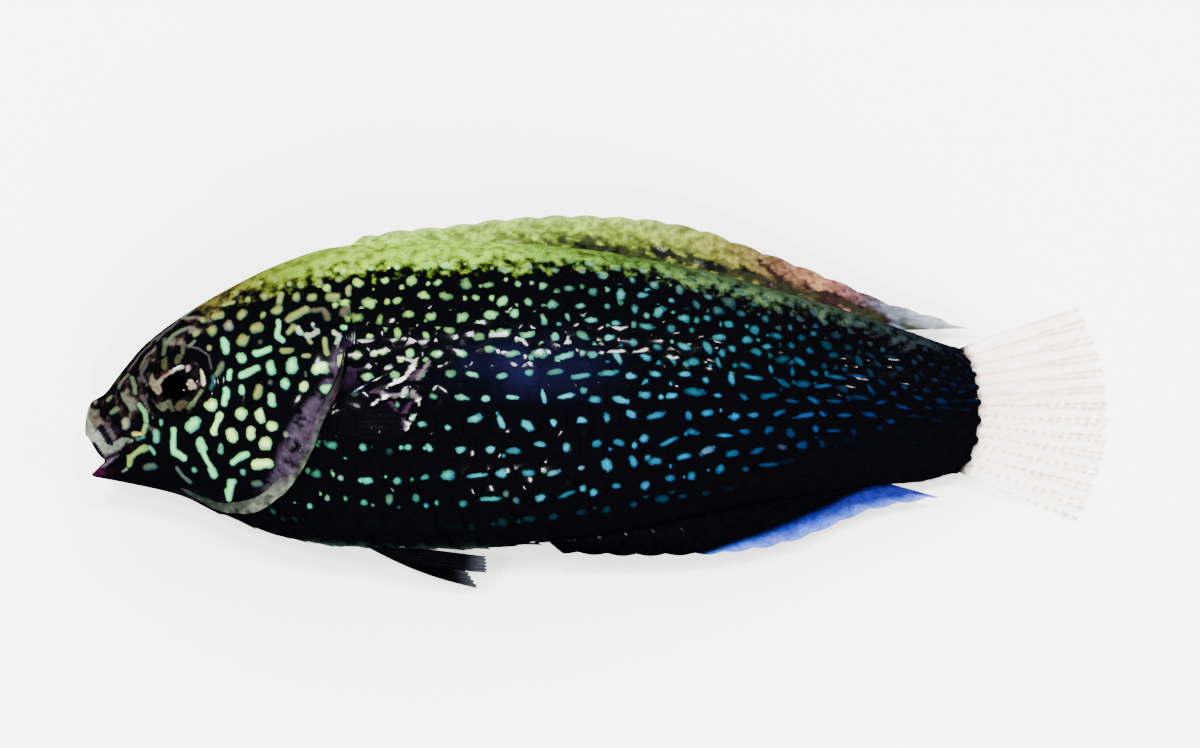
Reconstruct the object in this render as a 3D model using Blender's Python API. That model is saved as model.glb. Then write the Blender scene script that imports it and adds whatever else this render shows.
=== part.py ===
"""Black leopard wrasse, life size, lying on its right side as a landed fish lies on a flat surface.

The fish is drawn in its own coordinates, in millimetres, and placed in metres by place():
s runs from the snout to the tail, t from the belly to the back, and w from the right flank to the left.
In the world, s is +X, t is +Y and w is +Z, so the left flank looks up and the right flank is on the floor.
"""

import math

import bmesh
import bpy
import numpy as np
from mathutils import Vector

MM = 0.001
GAP = 0.3
# What a fin's root keeps beyond GAP, so that rounding never closes it.
SPARE = 0.06

# The origin is under the middle of the whole fish, fins included.
SHIFT_S = 26.206
SHIFT_T = 0.344

# Body length and the three curves that its cross-sections follow.
BODY_END = 44.6
BULGE_START = 38.0
TAIL_BULGE = 0.75
BACK_LINE = (
    (0.5, 0.55), (0.95, 0.82), (1.8, 1.90), (3.0, 3.30), (4.8, 4.70), (7.3, 6.20), (9.9, 7.45), (12.5, 8.25),
    (18.0, 8.70), (24.0, 8.40), (31.1, 7.25), (36.2, 5.90), (41.3, 4.40), (44.6, 3.35),
)
BELLY_LINE = (
    (0.5, -3.42), (2.5, -3.80), (4.8, -4.35), (7.1, -5.45), (10.1, -6.55), (13.4, -7.05),
    (19.0, -7.15), (23.2, -6.85), (26.1, -6.45), (31.1, -5.50), (36.2, -4.55), (40.3, -3.98), (42.8, -3.82),
    (44.6, -3.40),
)
HALF_WIDTH = (
    (0.5, 1.05), (1.5, 1.45), (3.0, 1.95), (5.0, 2.55), (8.0, 3.30), (12.0, 3.80), (16.0, 3.90),
    (22.0, 3.80), (28.0, 3.20), (34.0, 2.35), (40.0, 1.45), (43.0, 0.95), (44.6, 0.45),
)
SNOUT_ROUND = 0.5
SNOUT_MID = -1.3

# The exponent of a section's side, at the head and at the tail, and where it changes.
SIDE_EXPONENT = (0.86, 1.10)
SIDE_CHANGES = (14.0, 40.0)

# The height of the body's middle plane above the floor, which falls towards the tail.
REST_HEIGHT = ((0.0, 3.85), (10.0, 3.70), (22.0, 3.68), (30.0, 3.30), (38.0, 2.40), (44.6, 1.75))

# The mouth: the upper lip's lower edge, the lower lip's upper edge and the slit behind the jaw.
MOUTH_CORNER = (2.50, -1.86)
UPPER_LIP_EDGE = ((-1.0, -0.95), (0.05, -1.15), (0.42, -1.60), (0.72, -2.15), (1.0, -2.50), (1.7, -2.22))
LOWER_LIP_EDGE = ((1.85, -2.50), (1.05, -2.87), (0.25, -3.14), (-1.0, -3.30))
JAW_SLIT = ((2.60, -2.12), (3.05, -2.60), (3.30, -3.30), (3.42, -5.00))
UPPER_LIP_LINE = ((0.10, -0.10), (0.30, -1.20), (0.85, -2.00), MOUTH_CORNER)
LOWER_LIP_LINE = ((0.45, -3.25), (1.70, -2.78), MOUTH_CORNER)
LIP_SWELL = 0.24
LIP_WIDTH = 0.42

EYE_CENTRE = (4.95, 1.25)
EYE_RADIUS = 1.72
EYE_HALF_DEPTH = 0.95
EYE_PROUD = 0.50
EYE_REACH = 1.2
ORBIT_SWELL = 0.16
ORBIT_GAP = 0.15
ORBIT_WIDTH = 0.40

NOSTRILS = ((2.45, 1.45, 0.15), (2.85, 2.15, 0.19))
NOSTRIL_DEPTH = 0.45
NOSTRIL_SIDES = 8
# How far a cutting form reaches out of the surface that it cuts.
CUT_BEYOND = 1.5

# The gill opening's line from the nape to the throat, and the front edge of the gill cover.
GILL_LINE = (
    (13.9, 10.5), (13.8, 7.0), (13.5, 4.6), (13.42, 3.04), (13.20, 1.75), (12.66, 0.60), (12.20, -0.30),
    (11.80, -1.55), (11.10, -2.80), (10.20, -3.90), (9.20, -4.70), (8.05, -5.06), (7.00, -5.10),
    (6.60, -5.60), (6.40, -7.50),
)
COVER_REAR = (3, 11)
COVER_FRONT = (
    (6.60, -4.05), (7.10, -3.20), (7.85, -2.20), (8.35, -0.90), (8.55, 0.60), (8.80, 2.10), (9.50, 3.40),
    (10.60, 4.20), (11.90, 4.35), (12.90, 3.85),
)
COVER_THICKNESS = 0.9
# The cover swells behind COVER_BEGINS and under COVER_TOP, most near its rear margin.
COVER_SWELL = 0.30
COVER_TOP = 4.8
COVER_TOP_FADE = 1.2
COVER_BEGINS = 6.2
COVER_BEGINS_FADE = 3.0
COVER_FULL = 1.3
COVER_FADE = 3.6
# The heights over the floor between which each gill cover is cut out.
COVER_HEIGHTS = {"gill_cover_left": (4.4, 12.0), "gill_cover_right": (-2.0, 3.0)}

# Where the lofts of the head, of the trunk and of the head's core start and end.
HEAD_START = 0.012
HEAD_END = 15.0
CORE_END = 15.5
TRUNK_START = 5.6
STALK_CUT = 39.3
# The side view's limits for the forms that part the head from the trunk.
AHEAD = -2.0
UNDER_HEAD = 6.0
BEYOND_TAIL = 50.0
UNDER_BODY = -9.0
OVER_BODY = 11.0
PRISM_REACH = 8.0

# The recess in the right flank that leaves room for the right pectoral fin above the floor.
RECESS_HEIGHT = 0.98
RECESS_CENTRE = (15.3, 0.6)
RECESS_RADII = (3.1, 3.0)
RECESS_RAMP = 0.35

# Fin thickness at the root, in the web and on a ray, and how much of it is left at the tips.
WEB_THICKNESS = 0.50
RAY_THICKNESS = 0.72
TIP_SHARE = 0.62
MEDIAN_SCALLOP = 0.10
CAUDAL_SCALLOP = 0.12
MEDIAN_FLARE = 0.85
CAUDAL_FLARE = 0.9

DORSAL_RAYS = 20
DORSAL_BASE = (12.9, 41.0)
DORSAL_RAKE = (1.1, 4.0)
DORSAL_EDGE = (
    (13.8, 8.85), (16.0, 9.20), (18.5, 9.42), (21.0, 9.75), (24.5, 9.95), (28.0, 9.80), (31.0, 9.30),
    (33.2, 8.55), (36.2, 7.45), (38.7, 6.45), (40.8, 5.55), (43.0, 4.90), (45.0, 4.20),
)
ANAL_RAYS = 14
ANAL_BASE = (23.2, 40.2)
ANAL_RAKE = (1.0, 3.4)
ANAL_EDGE = (
    (24.2, -7.35), (28.0, -7.50), (31.1, -7.45), (34.2, -7.15), (36.2, -6.70), (38.0, -6.00), (40.0, -5.20),
    (43.6, -4.55),
)
MEDIAN_DROOP = 0.55

CAUDAL_RAYS = 14
CAUDAL_LENGTH = 6.7
CAUDAL_SPREAD = 5.6
CAUDAL_SAG = 0.25
CAUDAL_ROUND = 0.9
CAUDAL_ROOT_HEIGHT = 1.62
CAUDAL_ROOT_SHARE = 0.93
CAUDAL_SINK = 1.15

PECTORAL_RAYS = 12
PECTORAL_ROOT = ((13.50, 0.80), (13.10, -1.10))
PECTORAL_ANGLES = (27.0, -9.0)
PECTORAL_LENGTHS = ((0.0, 4.1), (0.12, 4.7), (0.45, 4.1), (0.75, 3.6), (1.0, 2.9))
PECTORAL_LIFT = 0.12
PECTORAL_LIFT_RUN = 1.2
PECTORAL_SPARE = 0.03
RIGHT_PECTORAL_MOST = 0.62

PELVIC_RAYS = 6
PELVIC_ROOT = (13.7, 15.1)
PELVIC_SIDE = 0.62
PELVIC_BOW = 0.30
# For each side of the body: where the first and the last ray end, and how high over the floor.
PELVIC_TIPS = {
    1: (((20.35, -8.30), (20.30, -7.45)), (3.1, 3.3)),
    -1: (((19.85, -9.25), (19.20, -8.20)), (1.0, 1.5)),
}

RINGS_HEAD = 38
RINGS_CORE = 18
CORE_START = 4.5
RINGS_TRUNK = 28
RINGS_STALK = 9
SIDES_HEAD = 40
SIDES_TRUNK = 42
SIDES_STALK = 36
CROWD_HEAD = 1.35
CROWD_TRUNK = 0.9
MEDIAN_ROWS = 5
CAUDAL_ROWS = 6
PECTORAL_ROWS = 5
PELVIC_ROWS = 6
SHARP_ANGLE = 40
EYE_SEGMENTS = 18
EYE_RINGS = 10

BLACK_SKIN = (0.012, 0.014, 0.016)
LIP_GREY = (0.42, 0.41, 0.36)
OLIVE = (0.30, 0.34, 0.13)
CLEAR_FIN = (0.75, 0.70, 0.66)
EYE_DARK = (0.02, 0.018, 0.016)


def smooth_curve(stations):
    """A function that runs smoothly through the stations without swinging past them."""
    x = np.array([p[0] for p in stations], float)
    y = np.array([p[1] for p in stations], float)
    step = np.diff(x)
    slope = np.diff(y) / step
    tangent = np.zeros(len(x))
    for i in range(1, len(x) - 1):
        if slope[i - 1] * slope[i] > 0:
            before = 2 * step[i] + step[i - 1]
            after = step[i] + 2 * step[i - 1]
            tangent[i] = (before + after) / (before / slope[i - 1] + after / slope[i])
    tangent[0] = slope[0]
    tangent[-1] = slope[-1]

    def value(at):
        at = min(max(at, x[0]), x[-1])
        i = min(int(np.searchsorted(x, at, side="right")) - 1, len(step) - 1)
        f = (at - x[i]) / step[i]
        return (
            (1 + 2 * f) * (1 - f) ** 2 * y[i]
            + f * (1 - f) ** 2 * step[i] * tangent[i]
            + f * f * (3 - 2 * f) * y[i + 1]
            + f * f * (f - 1) * step[i] * tangent[i + 1]
        )

    return value


back_at = smooth_curve(BACK_LINE)
belly_at = smooth_curve(BELLY_LINE)
width_at = smooth_curve(HALF_WIDTH)
rest_height = smooth_curve(REST_HEIGHT)


def ease(value):
    """0 below 0, 1 above 1, and a smooth step between."""
    value = min(max(value, 0.0), 1.0)
    return value * value * (3 - 2 * value)


def snout_share(s):
    """How full the section is this near the snout tip, where the body closes in a round end."""
    if s >= SNOUT_ROUND:
        return 1.0
    return math.sqrt(max(1 - (1 - s / SNOUT_ROUND) ** 2, 0.0))


def section(s):
    """Middle, half depth and half width of the body at s."""
    top, bottom = back_at(s), belly_at(s)
    share = snout_share(s)
    middle = (top + bottom) / 2
    middle = middle * share + SNOUT_MID * (1 - share)
    return middle, (top - bottom) / 2 * share, width_at(s) * share


def roundness(s):
    """The exponent of the section's side: fuller at the head, sharper towards the tail."""
    head, tail = SIDE_EXPONENT
    start, end = SIDE_CHANGES
    return head + (tail - head) * ease((s - start) / (end - start))


def distance_to_line(point, line):
    """The distance from a point to a chain of points, in the side view."""
    best = 1e9
    for a, b in zip(line, line[1:]):
        run = (b[0] - a[0], b[1] - a[1])
        share = ((point[0] - a[0]) * run[0] + (point[1] - a[1]) * run[1]) / (run[0] ** 2 + run[1] ** 2)
        share = min(max(share, 0.0), 1.0)
        best = min(best, math.dist(point, (a[0] + run[0] * share, a[1] + run[1] * share)))
    return best


def bump(distance, width):
    return math.exp(-((distance / width) ** 2))


def catmull(points, steps, closed=False):
    """Points along a smooth curve through these points."""
    count = len(points)
    spans = count if closed else count - 1
    made = []
    for i in range(spans):
        if closed:
            a, b, c, d = (points[(i + k) % count] for k in (-1, 0, 1, 2))
        else:
            a, b, c, d = (points[min(max(i + k, 0), count - 1)] for k in (-1, 0, 1, 2))
        for step in range(steps):
            f = step / steps
            made.append(tuple(
                0.5 * (2 * q + (r - p) * f + (2 * p - 5 * q + 4 * r - v) * f * f
                       + (3 * q - p - 3 * r + v) * f ** 3)
                for p, q, r, v in zip(a, b, c, d)
            ))
    if not closed:
        made.append(tuple(points[-1]))
    return made


gill_line = catmull(GILL_LINE, 2)
cover_rear = catmull(GILL_LINE[COVER_REAR[0]:COVER_REAR[1] + 1], 2)
cover_front = catmull(COVER_FRONT, 2)


def head_swell(s, t):
    """How far the lips, the orbit and the gill cover stand out of the plain section, in the side view."""
    from_eye = math.dist((s, t), EYE_CENTRE)
    swell = ORBIT_SWELL * bump(from_eye - EYE_RADIUS - ORBIT_GAP, ORBIT_WIDTH)
    for lip in (UPPER_LIP_LINE, LOWER_LIP_LINE):
        swell += LIP_SWELL * bump(distance_to_line((s, t), lip), LIP_WIDTH)
    inside = ease((COVER_TOP - t) / COVER_TOP_FADE) * ease((s - COVER_BEGINS) / COVER_BEGINS_FADE)
    to_margin = distance_to_line((s, t), cover_rear)
    return swell + COVER_SWELL * inside * ease(COVER_FULL - to_margin / COVER_FADE)


def right_floor(s, t, lift):
    """The lowest height of the right flank: the floor, or the recess over the right pectoral fin."""
    across = math.hypot((s - RECESS_CENTRE[0]) / RECESS_RADII[0], (t - RECESS_CENTRE[1]) / RECESS_RADII[1])
    return RECESS_HEIGHT * ease((1 + RECESS_RAMP - across) / RECESS_RAMP) * lift


def place(s, t, z):
    """A point in the world, in metres, from the side view's s and t and a height above the floor."""
    return Vector(((s - SHIFT_S) * MM, (t - SHIFT_T) * MM, z * MM))


def skin_point(s, angle, inset, is_head):
    """A point of the body's surface, or of one that lies inset below it."""
    middle, half, width = section(s)
    side = math.sin(angle)
    t = middle + half * math.cos(angle)
    swell = head_swell(s, t) * abs(side) * snout_share(s) if is_head else 0.0
    w = math.copysign(abs(side) ** roundness(s), side) * (width - inset)
    w = w + math.copysign(swell, side) * (side != 0)
    t = middle + (half - inset) * math.cos(angle)
    z = rest_height(s) + w
    if w < 0:
        z = max(z, inset + right_floor(s, t, 0.0 if is_head else 1.0))
    bulge = TAIL_BULGE * ease((s - BULGE_START) / (BODY_END - BULGE_START)) * math.sin(angle) ** 2
    return place(s + bulge, t, z)


def flank_height(s, t, side):
    """The height of the trunk's surface above the floor at a place in the side view."""
    middle, half, width = section(s)
    cosine = min(max((t - middle) / half, -1.0), 1.0)
    reach = width * math.sin(math.acos(cosine)) ** roundness(s)
    if side > 0:
        return rest_height(s) + reach
    return max(rest_height(s) - reach, right_floor(s, t, 1.0))


def object_from(name, vertices, faces):
    """A mesh object from points and faces, with its faces turned outwards."""
    mesh = bpy.data.meshes.new(name)
    mesh.from_pydata([tuple(v) for v in vertices], [], faces)
    work = bmesh.new()
    work.from_mesh(mesh)
    bmesh.ops.recalc_face_normals(work, faces=work.faces)
    work.to_mesh(mesh)
    work.free()
    made = bpy.data.objects.new(name, mesh)
    bpy.context.scene.collection.objects.link(made)
    return made


def body_loft(name, start, end, rings, sides, inset=0.0, is_head=True, crowd=1.0):
    """A closed loft of body sections from start to end. Crowd over 1 packs the rings at the start."""
    vertices, faces = [], []
    for ring in range(rings + 1):
        s = start + (end - start) * (ring / rings) ** crowd
        for side in range(sides):
            vertices.append(skin_point(s, 2 * math.pi * side / sides, inset, is_head))
    for ring in range(rings):
        for side in range(sides):
            a, b = ring * sides + side, ring * sides + (side + 1) % sides
            faces.append((a, b, b + sides, a + sides))
    faces.append(tuple(reversed(range(sides))))
    faces.append(tuple(range(rings * sides, (rings + 1) * sides)))
    return object_from(name, vertices, faces)


def prism(name, outline, low=-PRISM_REACH, high=PRISM_REACH):
    """The outline in the side view, in s and t, made a solid between two heights over the floor."""
    count = len(outline)
    vertices = [place(s, t, low) for s, t in outline] + [place(s, t, high) for s, t in outline]
    faces = [tuple(reversed(range(count))), tuple(range(count, 2 * count))]
    faces += [(i, (i + 1) % count, (i + 1) % count + count, i + count) for i in range(count)]
    return object_from(name, vertices, faces)


def offset(line, distance, closed=False):
    """The chain of points moved sideways, to the left of its direction."""
    made = []
    for i, point in enumerate(line):
        before = line[i - 1] if i or closed else point
        after = line[(i + 1) % len(line)] if i + 1 < len(line) or closed else point
        run = (after[0] - before[0], after[1] - before[1])
        length = math.hypot(*run)
        made.append((point[0] - run[1] / length * distance, point[1] + run[0] / length * distance))
    return made


def combine(target, tool, operation):
    """Target cut by, joined to or kept inside the tool, which is then removed."""
    modifier = target.modifiers.new("combine", "BOOLEAN")
    modifier.object = tool
    modifier.operation = operation
    modifier.solver = "EXACT"
    bpy.context.view_layer.update()
    graph = bpy.context.evaluated_depsgraph_get()
    mesh = bpy.data.meshes.new_from_object(target.evaluated_get(graph))
    target.modifiers.clear()
    target.data = mesh
    bpy.data.objects.remove(tool)
    return target


def loose_parts(obj):
    """The separate surfaces of an object, each as (its size, a set of its vertex numbers)."""
    work = bmesh.new()
    work.from_mesh(obj.data)
    left = set(work.verts)
    parts = []
    while left:
        stack = [left.pop()]
        part = set(stack)
        while stack:
            for edge in stack.pop().link_edges:
                for vertex in edge.verts:
                    if vertex in left:
                        left.remove(vertex)
                        part.add(vertex)
                        stack.append(vertex)
        parts.append({v.index for v in part})
    work.free()
    return sorted(parts, key=len, reverse=True)


def keep_part(obj, kept):
    """Drops every vertex of the object that isn't in kept."""
    work = bmesh.new()
    work.from_mesh(obj.data)
    bmesh.ops.delete(work, geom=[v for v in work.verts if v.index not in kept], context="VERTS")
    work.to_mesh(obj.data)
    work.free()


def keep_largest(obj):
    keep_part(obj, loose_parts(obj)[0])
    return obj


def material(name, colour, roughness, alpha=1.0):
    made = bpy.data.materials.new(name)
    made.use_nodes = True
    shader = made.node_tree.nodes["Principled BSDF"]
    shader.inputs["Base Color"].default_value = (*colour, 1.0)
    shader.inputs["Roughness"].default_value = roughness
    shader.inputs["Metallic"].default_value = 0.0
    shader.inputs["Alpha"].default_value = alpha
    return made


def finish(obj, skin):
    """Gives a finished solid its material and smooth shading."""
    obj.data.materials.clear()
    obj.data.materials.append(skin)
    obj.data.shade_smooth()
    obj.data.set_sharp_from_angle(angle=math.radians(SHARP_ANGLE))
    return obj


def eyeball(name, side, grow=0.0):
    """A ball flattened along the line that it looks out on, square to the head's side."""
    s, t = EYE_CENTRE
    slope = [
        (flank_height(s + a, t + b, side) - flank_height(s - a, t - b, side)) / (2 * EYE_REACH)
        for a, b in ((EYE_REACH, 0.0), (0.0, EYE_REACH))
    ]
    look = Vector((-slope[0], -slope[1], 1.0)).normalized() * side
    along = Vector((1.0, 0.0, slope[0])).normalized()
    upward = look.cross(along)
    centre = Vector((s, t, flank_height(s, t, side))) + look * (EYE_PROUD - EYE_HALF_DEPTH)
    work = bmesh.new()
    bmesh.ops.create_uvsphere(work, u_segments=EYE_SEGMENTS, v_segments=EYE_RINGS, radius=1.0)
    mesh = bpy.data.meshes.new(name)
    for vertex in work.verts:
        x, y, z = vertex.co
        point = centre + (along * x + upward * y) * (EYE_RADIUS + grow) + look * z * (EYE_HALF_DEPTH + grow)
        vertex.co = place(*point)
    bmesh.ops.recalc_face_normals(work, faces=work.faces)
    work.to_mesh(mesh)
    work.free()
    made = bpy.data.objects.new(name, mesh)
    bpy.context.scene.collection.objects.link(made)
    return made


def mouth_cutter():
    """The open gape, with the slit that parts the lower jaw from the head."""
    behind = offset(JAW_SLIT, GAP)
    outline = [*UPPER_LIP_EDGE, MOUTH_CORNER, *behind, *reversed(JAW_SLIT), *LOWER_LIP_EDGE]
    return prism("gape", outline)


def nostril_cutter(s, t, radius, side):
    """A small pit that goes straight into the snout."""
    outline = [
        (s + radius * math.cos(a), t + radius * math.sin(a))
        for a in (math.tau * k / NOSTRIL_SIDES for k in range(NOSTRIL_SIDES))
    ]
    surface = flank_height(s, t, side)
    near, far = surface - side * NOSTRIL_DEPTH, surface + side * CUT_BEYOND
    return prism("nostril", outline, min(near, far), max(near, far))


def cover_outline():
    return [*cover_rear, *cover_front]


def make_head(skin, lip):
    """Head, lower jaw and both gill covers, cut from one form."""
    head = body_loft("head", HEAD_START, HEAD_END, RINGS_HEAD, SIDES_HEAD, crowd=CROWD_HEAD)
    front = [(AHEAD, UNDER_BODY), (AHEAD, OVER_BODY)]
    combine(head, prism("head_space", [*front, *gill_line]), "INTERSECT")
    for name, (low, high) in COVER_HEIGHTS.items():
        cover = body_loft(name, HEAD_START, HEAD_END, RINGS_HEAD, SIDES_HEAD, crowd=CROWD_HEAD)
        combine(cover, prism("cover_space", cover_outline(), low, high), "INTERSECT")
        core = body_loft("core", CORE_START, CORE_END, RINGS_CORE, SIDES_HEAD, COVER_THICKNESS)
        combine(cover, core, "DIFFERENCE")
        finish(keep_largest(cover), skin)
        # The cover's outline runs clockwise, so its left side is the outside.
        pocket = prism("pocket", offset(cover_outline(), GAP, closed=True), low - GAP, high + GAP)
        bed = body_loft("bed", CORE_START, CORE_END, RINGS_CORE, SIDES_HEAD, COVER_THICKNESS + GAP)
        combine(pocket, bed, "DIFFERENCE")
        combine(head, pocket, "DIFFERENCE")
    for side in (1, -1):
        combine(head, eyeball("socket", side, GAP), "DIFFERENCE")
        for s, t, radius in NOSTRILS:
            combine(head, nostril_cutter(s, t, radius, side), "DIFFERENCE")
    combine(head, mouth_cutter(), "DIFFERENCE")
    parts = loose_parts(head)
    jaw = head.copy()
    jaw.data = head.data.copy()
    jaw.name = "lower_jaw"
    bpy.context.scene.collection.objects.link(jaw)
    keep_part(head, parts[0])
    keep_part(jaw, parts[1])
    finish(head, skin)
    finish(jaw, lip)


def make_trunk(skin):
    """The trunk behind the gill opening, and the tail stalk behind its cut."""
    trunk = body_loft("trunk", TRUNK_START, STALK_CUT, RINGS_TRUNK, SIDES_TRUNK, is_head=False,
                      crowd=CROWD_TRUNK)
    rear = [(UNDER_HEAD, UNDER_BODY), (BEYOND_TAIL, UNDER_BODY), (BEYOND_TAIL, OVER_BODY)]
    combine(trunk, prism("trunk_space", [*offset(gill_line, GAP), *rear]), "INTERSECT")
    stalk = body_loft("tail_stalk", STALK_CUT + GAP, BODY_END, RINGS_STALK, SIDES_STALK, is_head=False)
    finish(keep_largest(trunk), skin)
    finish(stalk, skin)


def make_eyes(dark):
    for name, side in (("eye_left", 1), ("eye_right", -1)):
        finish(eyeball(name, side), dark)


def web(name, columns, rows, middle, thickness, skin):
    """A closed fin web. middle(u, v) is a point on its middle surface, with v from root to tip, and
    thickness(column, v) its thickness. Both faces are split alike, so that they never cross."""
    vertices, faces = [], []
    for side in (1, -1):
        for i in range(columns + 1):
            for j in range(rows + 1):
                s, t, z = middle(i / columns, j / rows)
                half = thickness(i, j / rows) / 2
                vertices.append(place(s, t, max(z, half) + side * half))
    stride = rows + 1
    under = (columns + 1) * stride

    def pair(a, b, c, d):
        faces.extend(((a, b, c), (a, c, d)))
        faces.extend(((c + under, b + under, a + under), (d + under, c + under, a + under)))

    for i in range(columns):
        for j in range(rows):
            a = i * stride + j
            pair(a, a + stride, a + stride + 1, a + 1)
    rim = [i * stride for i in range(columns + 1)]
    rim += [columns * stride + j for j in range(1, rows + 1)]
    rim += [i * stride + rows for i in range(columns - 1, -1, -1)]
    rim += [j for j in range(rows - 1, 0, -1)]
    for a, b in zip(rim, rim[1:] + rim[:1]):
        faces.append((a, b, b + under))
        faces.append((a, b + under, a + under))
    return finish(object_from(name, vertices, faces), skin)


def ray_thickness(column, v):
    """Thick on the even columns, which are rays, thin between them, and thinner towards the tips."""
    full = RAY_THICKNESS if column % 2 == 0 else WEB_THICKNESS
    return full * (1 - (1 - TIP_SHARE) * v ** 2)


def make_median_fin(name, rays, base, rake, edge, line_at, side, skin):
    """The dorsal or the anal fin, folded back, rising from the body's edge line."""
    edge_at = smooth_curve(edge)

    def middle(u, v):
        start = base[0] + (base[1] - base[0]) * u
        end = start + rake[0] + (rake[1] - rake[0]) * u
        root_t = line_at(start) + side * GAP
        scallop = MEDIAN_SCALLOP * (1 - abs(math.cos(math.pi * u * (rays - 1))))
        tip_t = edge_at(end) - side * scallop
        s = start + (end - start) * v
        t = root_t + (tip_t - root_t) * v ** MEDIAN_FLARE
        clear = line_at(s) + side * GAP
        t = max(t, clear) if side > 0 else min(t, clear)
        return s, t, rest_height(s) - MEDIAN_DROOP * v * v

    return web(name, 2 * (rays - 1), MEDIAN_ROWS, middle, ray_thickness, skin)


def make_caudal_fin(skin):
    """The tail fin: rays that fan from the round end of the tail stalk and sink to the floor."""
    end_middle, end_half, _ = section(BODY_END)

    def middle(u, v):
        across = 1 - 2 * u
        root_t = end_middle + end_half * across * CAUDAL_ROOT_SHARE
        root_s = BODY_END + TAIL_BULGE * (1 - (CAUDAL_ROOT_SHARE * across) ** 2) + GAP + SPARE
        length = CAUDAL_LENGTH - CAUDAL_ROUND * across ** 2
        length -= CAUDAL_SCALLOP * (1 - abs(math.cos(math.pi * u * (CAUDAL_RAYS - 1))))
        tip_t = end_middle - CAUDAL_SAG + across * CAUDAL_SPREAD
        s = root_s + length * v
        t = root_t + (tip_t - root_t) * v ** CAUDAL_FLARE
        return s, t, CAUDAL_ROOT_HEIGHT * (1 - ease(v * CAUDAL_SINK))

    return web("caudal_fin", 2 * (CAUDAL_RAYS - 1), CAUDAL_ROWS, middle, ray_thickness, skin)


def make_pectoral_fin(name, side, skin):
    """A fan of rays that lies back on the flank behind the gill opening."""
    length_at = smooth_curve(PECTORAL_LENGTHS)

    def middle(u, v):
        root = [a + (b - a) * u for a, b in zip(*PECTORAL_ROOT)]
        angle = math.radians(PECTORAL_ANGLES[0] + (PECTORAL_ANGLES[1] - PECTORAL_ANGLES[0]) * u)
        reach = length_at(u) * v
        reach -= MEDIAN_SCALLOP * v * (1 - abs(math.cos(math.pi * u * (PECTORAL_RAYS - 1))))
        s = root[0] + reach * math.cos(angle)
        t = root[1] + reach * math.sin(angle)
        lift = PECTORAL_LIFT * ease(v * PECTORAL_LIFT_RUN) if side > 0 else 0.0
        rise = GAP + RAY_THICKNESS / 2 + PECTORAL_SPARE + lift
        return s, t, flank_height(s, t, side) + side * rise

    def thickness(column, v):
        return min(ray_thickness(column, v), RIGHT_PECTORAL_MOST if side < 0 else RAY_THICKNESS)

    return web(name, 2 * (PECTORAL_RAYS - 1), PECTORAL_ROWS, middle, thickness, skin)


def make_pelvic_fin(name, side, skin):
    """A small pointed fin under the breast, which hangs towards the floor."""
    tips, tip_heights = PELVIC_TIPS[side]

    def middle(u, v):
        start = PELVIC_ROOT[0] + (PELVIC_ROOT[1] - PELVIC_ROOT[0]) * u
        root_t = belly_at(start) - GAP - SPARE
        s = start + (tips[0][0] + (tips[1][0] - tips[0][0]) * u - start) * v
        bow = PELVIC_BOW * math.sin(math.pi * v) * (1 - u)
        t = root_t + (tips[0][1] + (tips[1][1] - tips[0][1]) * u - root_t) * v - bow
        root_z = rest_height(start) + side * PELVIC_SIDE
        tip_z = tip_heights[0] + (tip_heights[1] - tip_heights[0]) * u
        return s, min(t, belly_at(s) - GAP), root_z + (tip_z - root_z) * v

    return web(name, 2 * (PELVIC_RAYS - 1), PELVIC_ROWS, middle, ray_thickness, skin)


def build():
    for obj in list(bpy.data.objects):
        bpy.data.objects.remove(obj)
    black = material("black_skin", BLACK_SKIN, 0.35)
    lip = material("lip_skin", LIP_GREY, 0.40)
    olive = material("olive_fin", OLIVE, 0.40)
    dark = material("black_fin", BLACK_SKIN, 0.40)
    clear = material("clear_fin", CLEAR_FIN, 0.35, 0.6)
    eye = material("eye", EYE_DARK, 0.12)
    make_head(black, lip)
    make_trunk(black)
    make_eyes(eye)
    make_median_fin("dorsal_fin", DORSAL_RAYS, DORSAL_BASE, DORSAL_RAKE, DORSAL_EDGE, back_at, 1, olive)
    make_median_fin("anal_fin", ANAL_RAYS, ANAL_BASE, ANAL_RAKE, ANAL_EDGE, belly_at, -1, dark)
    make_caudal_fin(clear)
    make_pectoral_fin("pectoral_fin_left", 1, clear)
    make_pectoral_fin("pectoral_fin_right", -1, clear)
    make_pelvic_fin("pelvic_fin_left", 1, dark)
    make_pelvic_fin("pelvic_fin_right", -1, dark)


build()
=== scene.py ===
# %% [markdown]
# # A black leopard wrasse, life size
# The fish is 52 mm long and lies on its right side on a pale floor, seen from straight above.
# The solid model (head, trunk, fins) gives its size; this script gives it skin, scales, fins and eyes.
# Everything is worked out in millimetres in the fish's own side view and turned to metres at the end.

# %% Load the solids that the looks are fitted to
import math

import bpy
import numpy as np
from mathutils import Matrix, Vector


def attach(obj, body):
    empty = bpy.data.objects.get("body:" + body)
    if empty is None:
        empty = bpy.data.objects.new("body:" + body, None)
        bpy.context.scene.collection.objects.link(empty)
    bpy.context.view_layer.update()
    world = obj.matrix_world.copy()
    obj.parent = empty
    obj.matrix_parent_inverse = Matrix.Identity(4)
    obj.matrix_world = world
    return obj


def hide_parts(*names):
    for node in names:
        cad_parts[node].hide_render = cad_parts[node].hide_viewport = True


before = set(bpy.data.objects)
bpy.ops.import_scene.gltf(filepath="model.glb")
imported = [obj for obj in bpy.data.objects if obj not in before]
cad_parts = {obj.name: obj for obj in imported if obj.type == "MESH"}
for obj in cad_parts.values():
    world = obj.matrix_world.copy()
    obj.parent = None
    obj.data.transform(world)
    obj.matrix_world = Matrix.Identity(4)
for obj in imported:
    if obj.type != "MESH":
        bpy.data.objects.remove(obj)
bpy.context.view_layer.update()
MM = 0.001
print("solids:", sorted(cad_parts))

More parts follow.
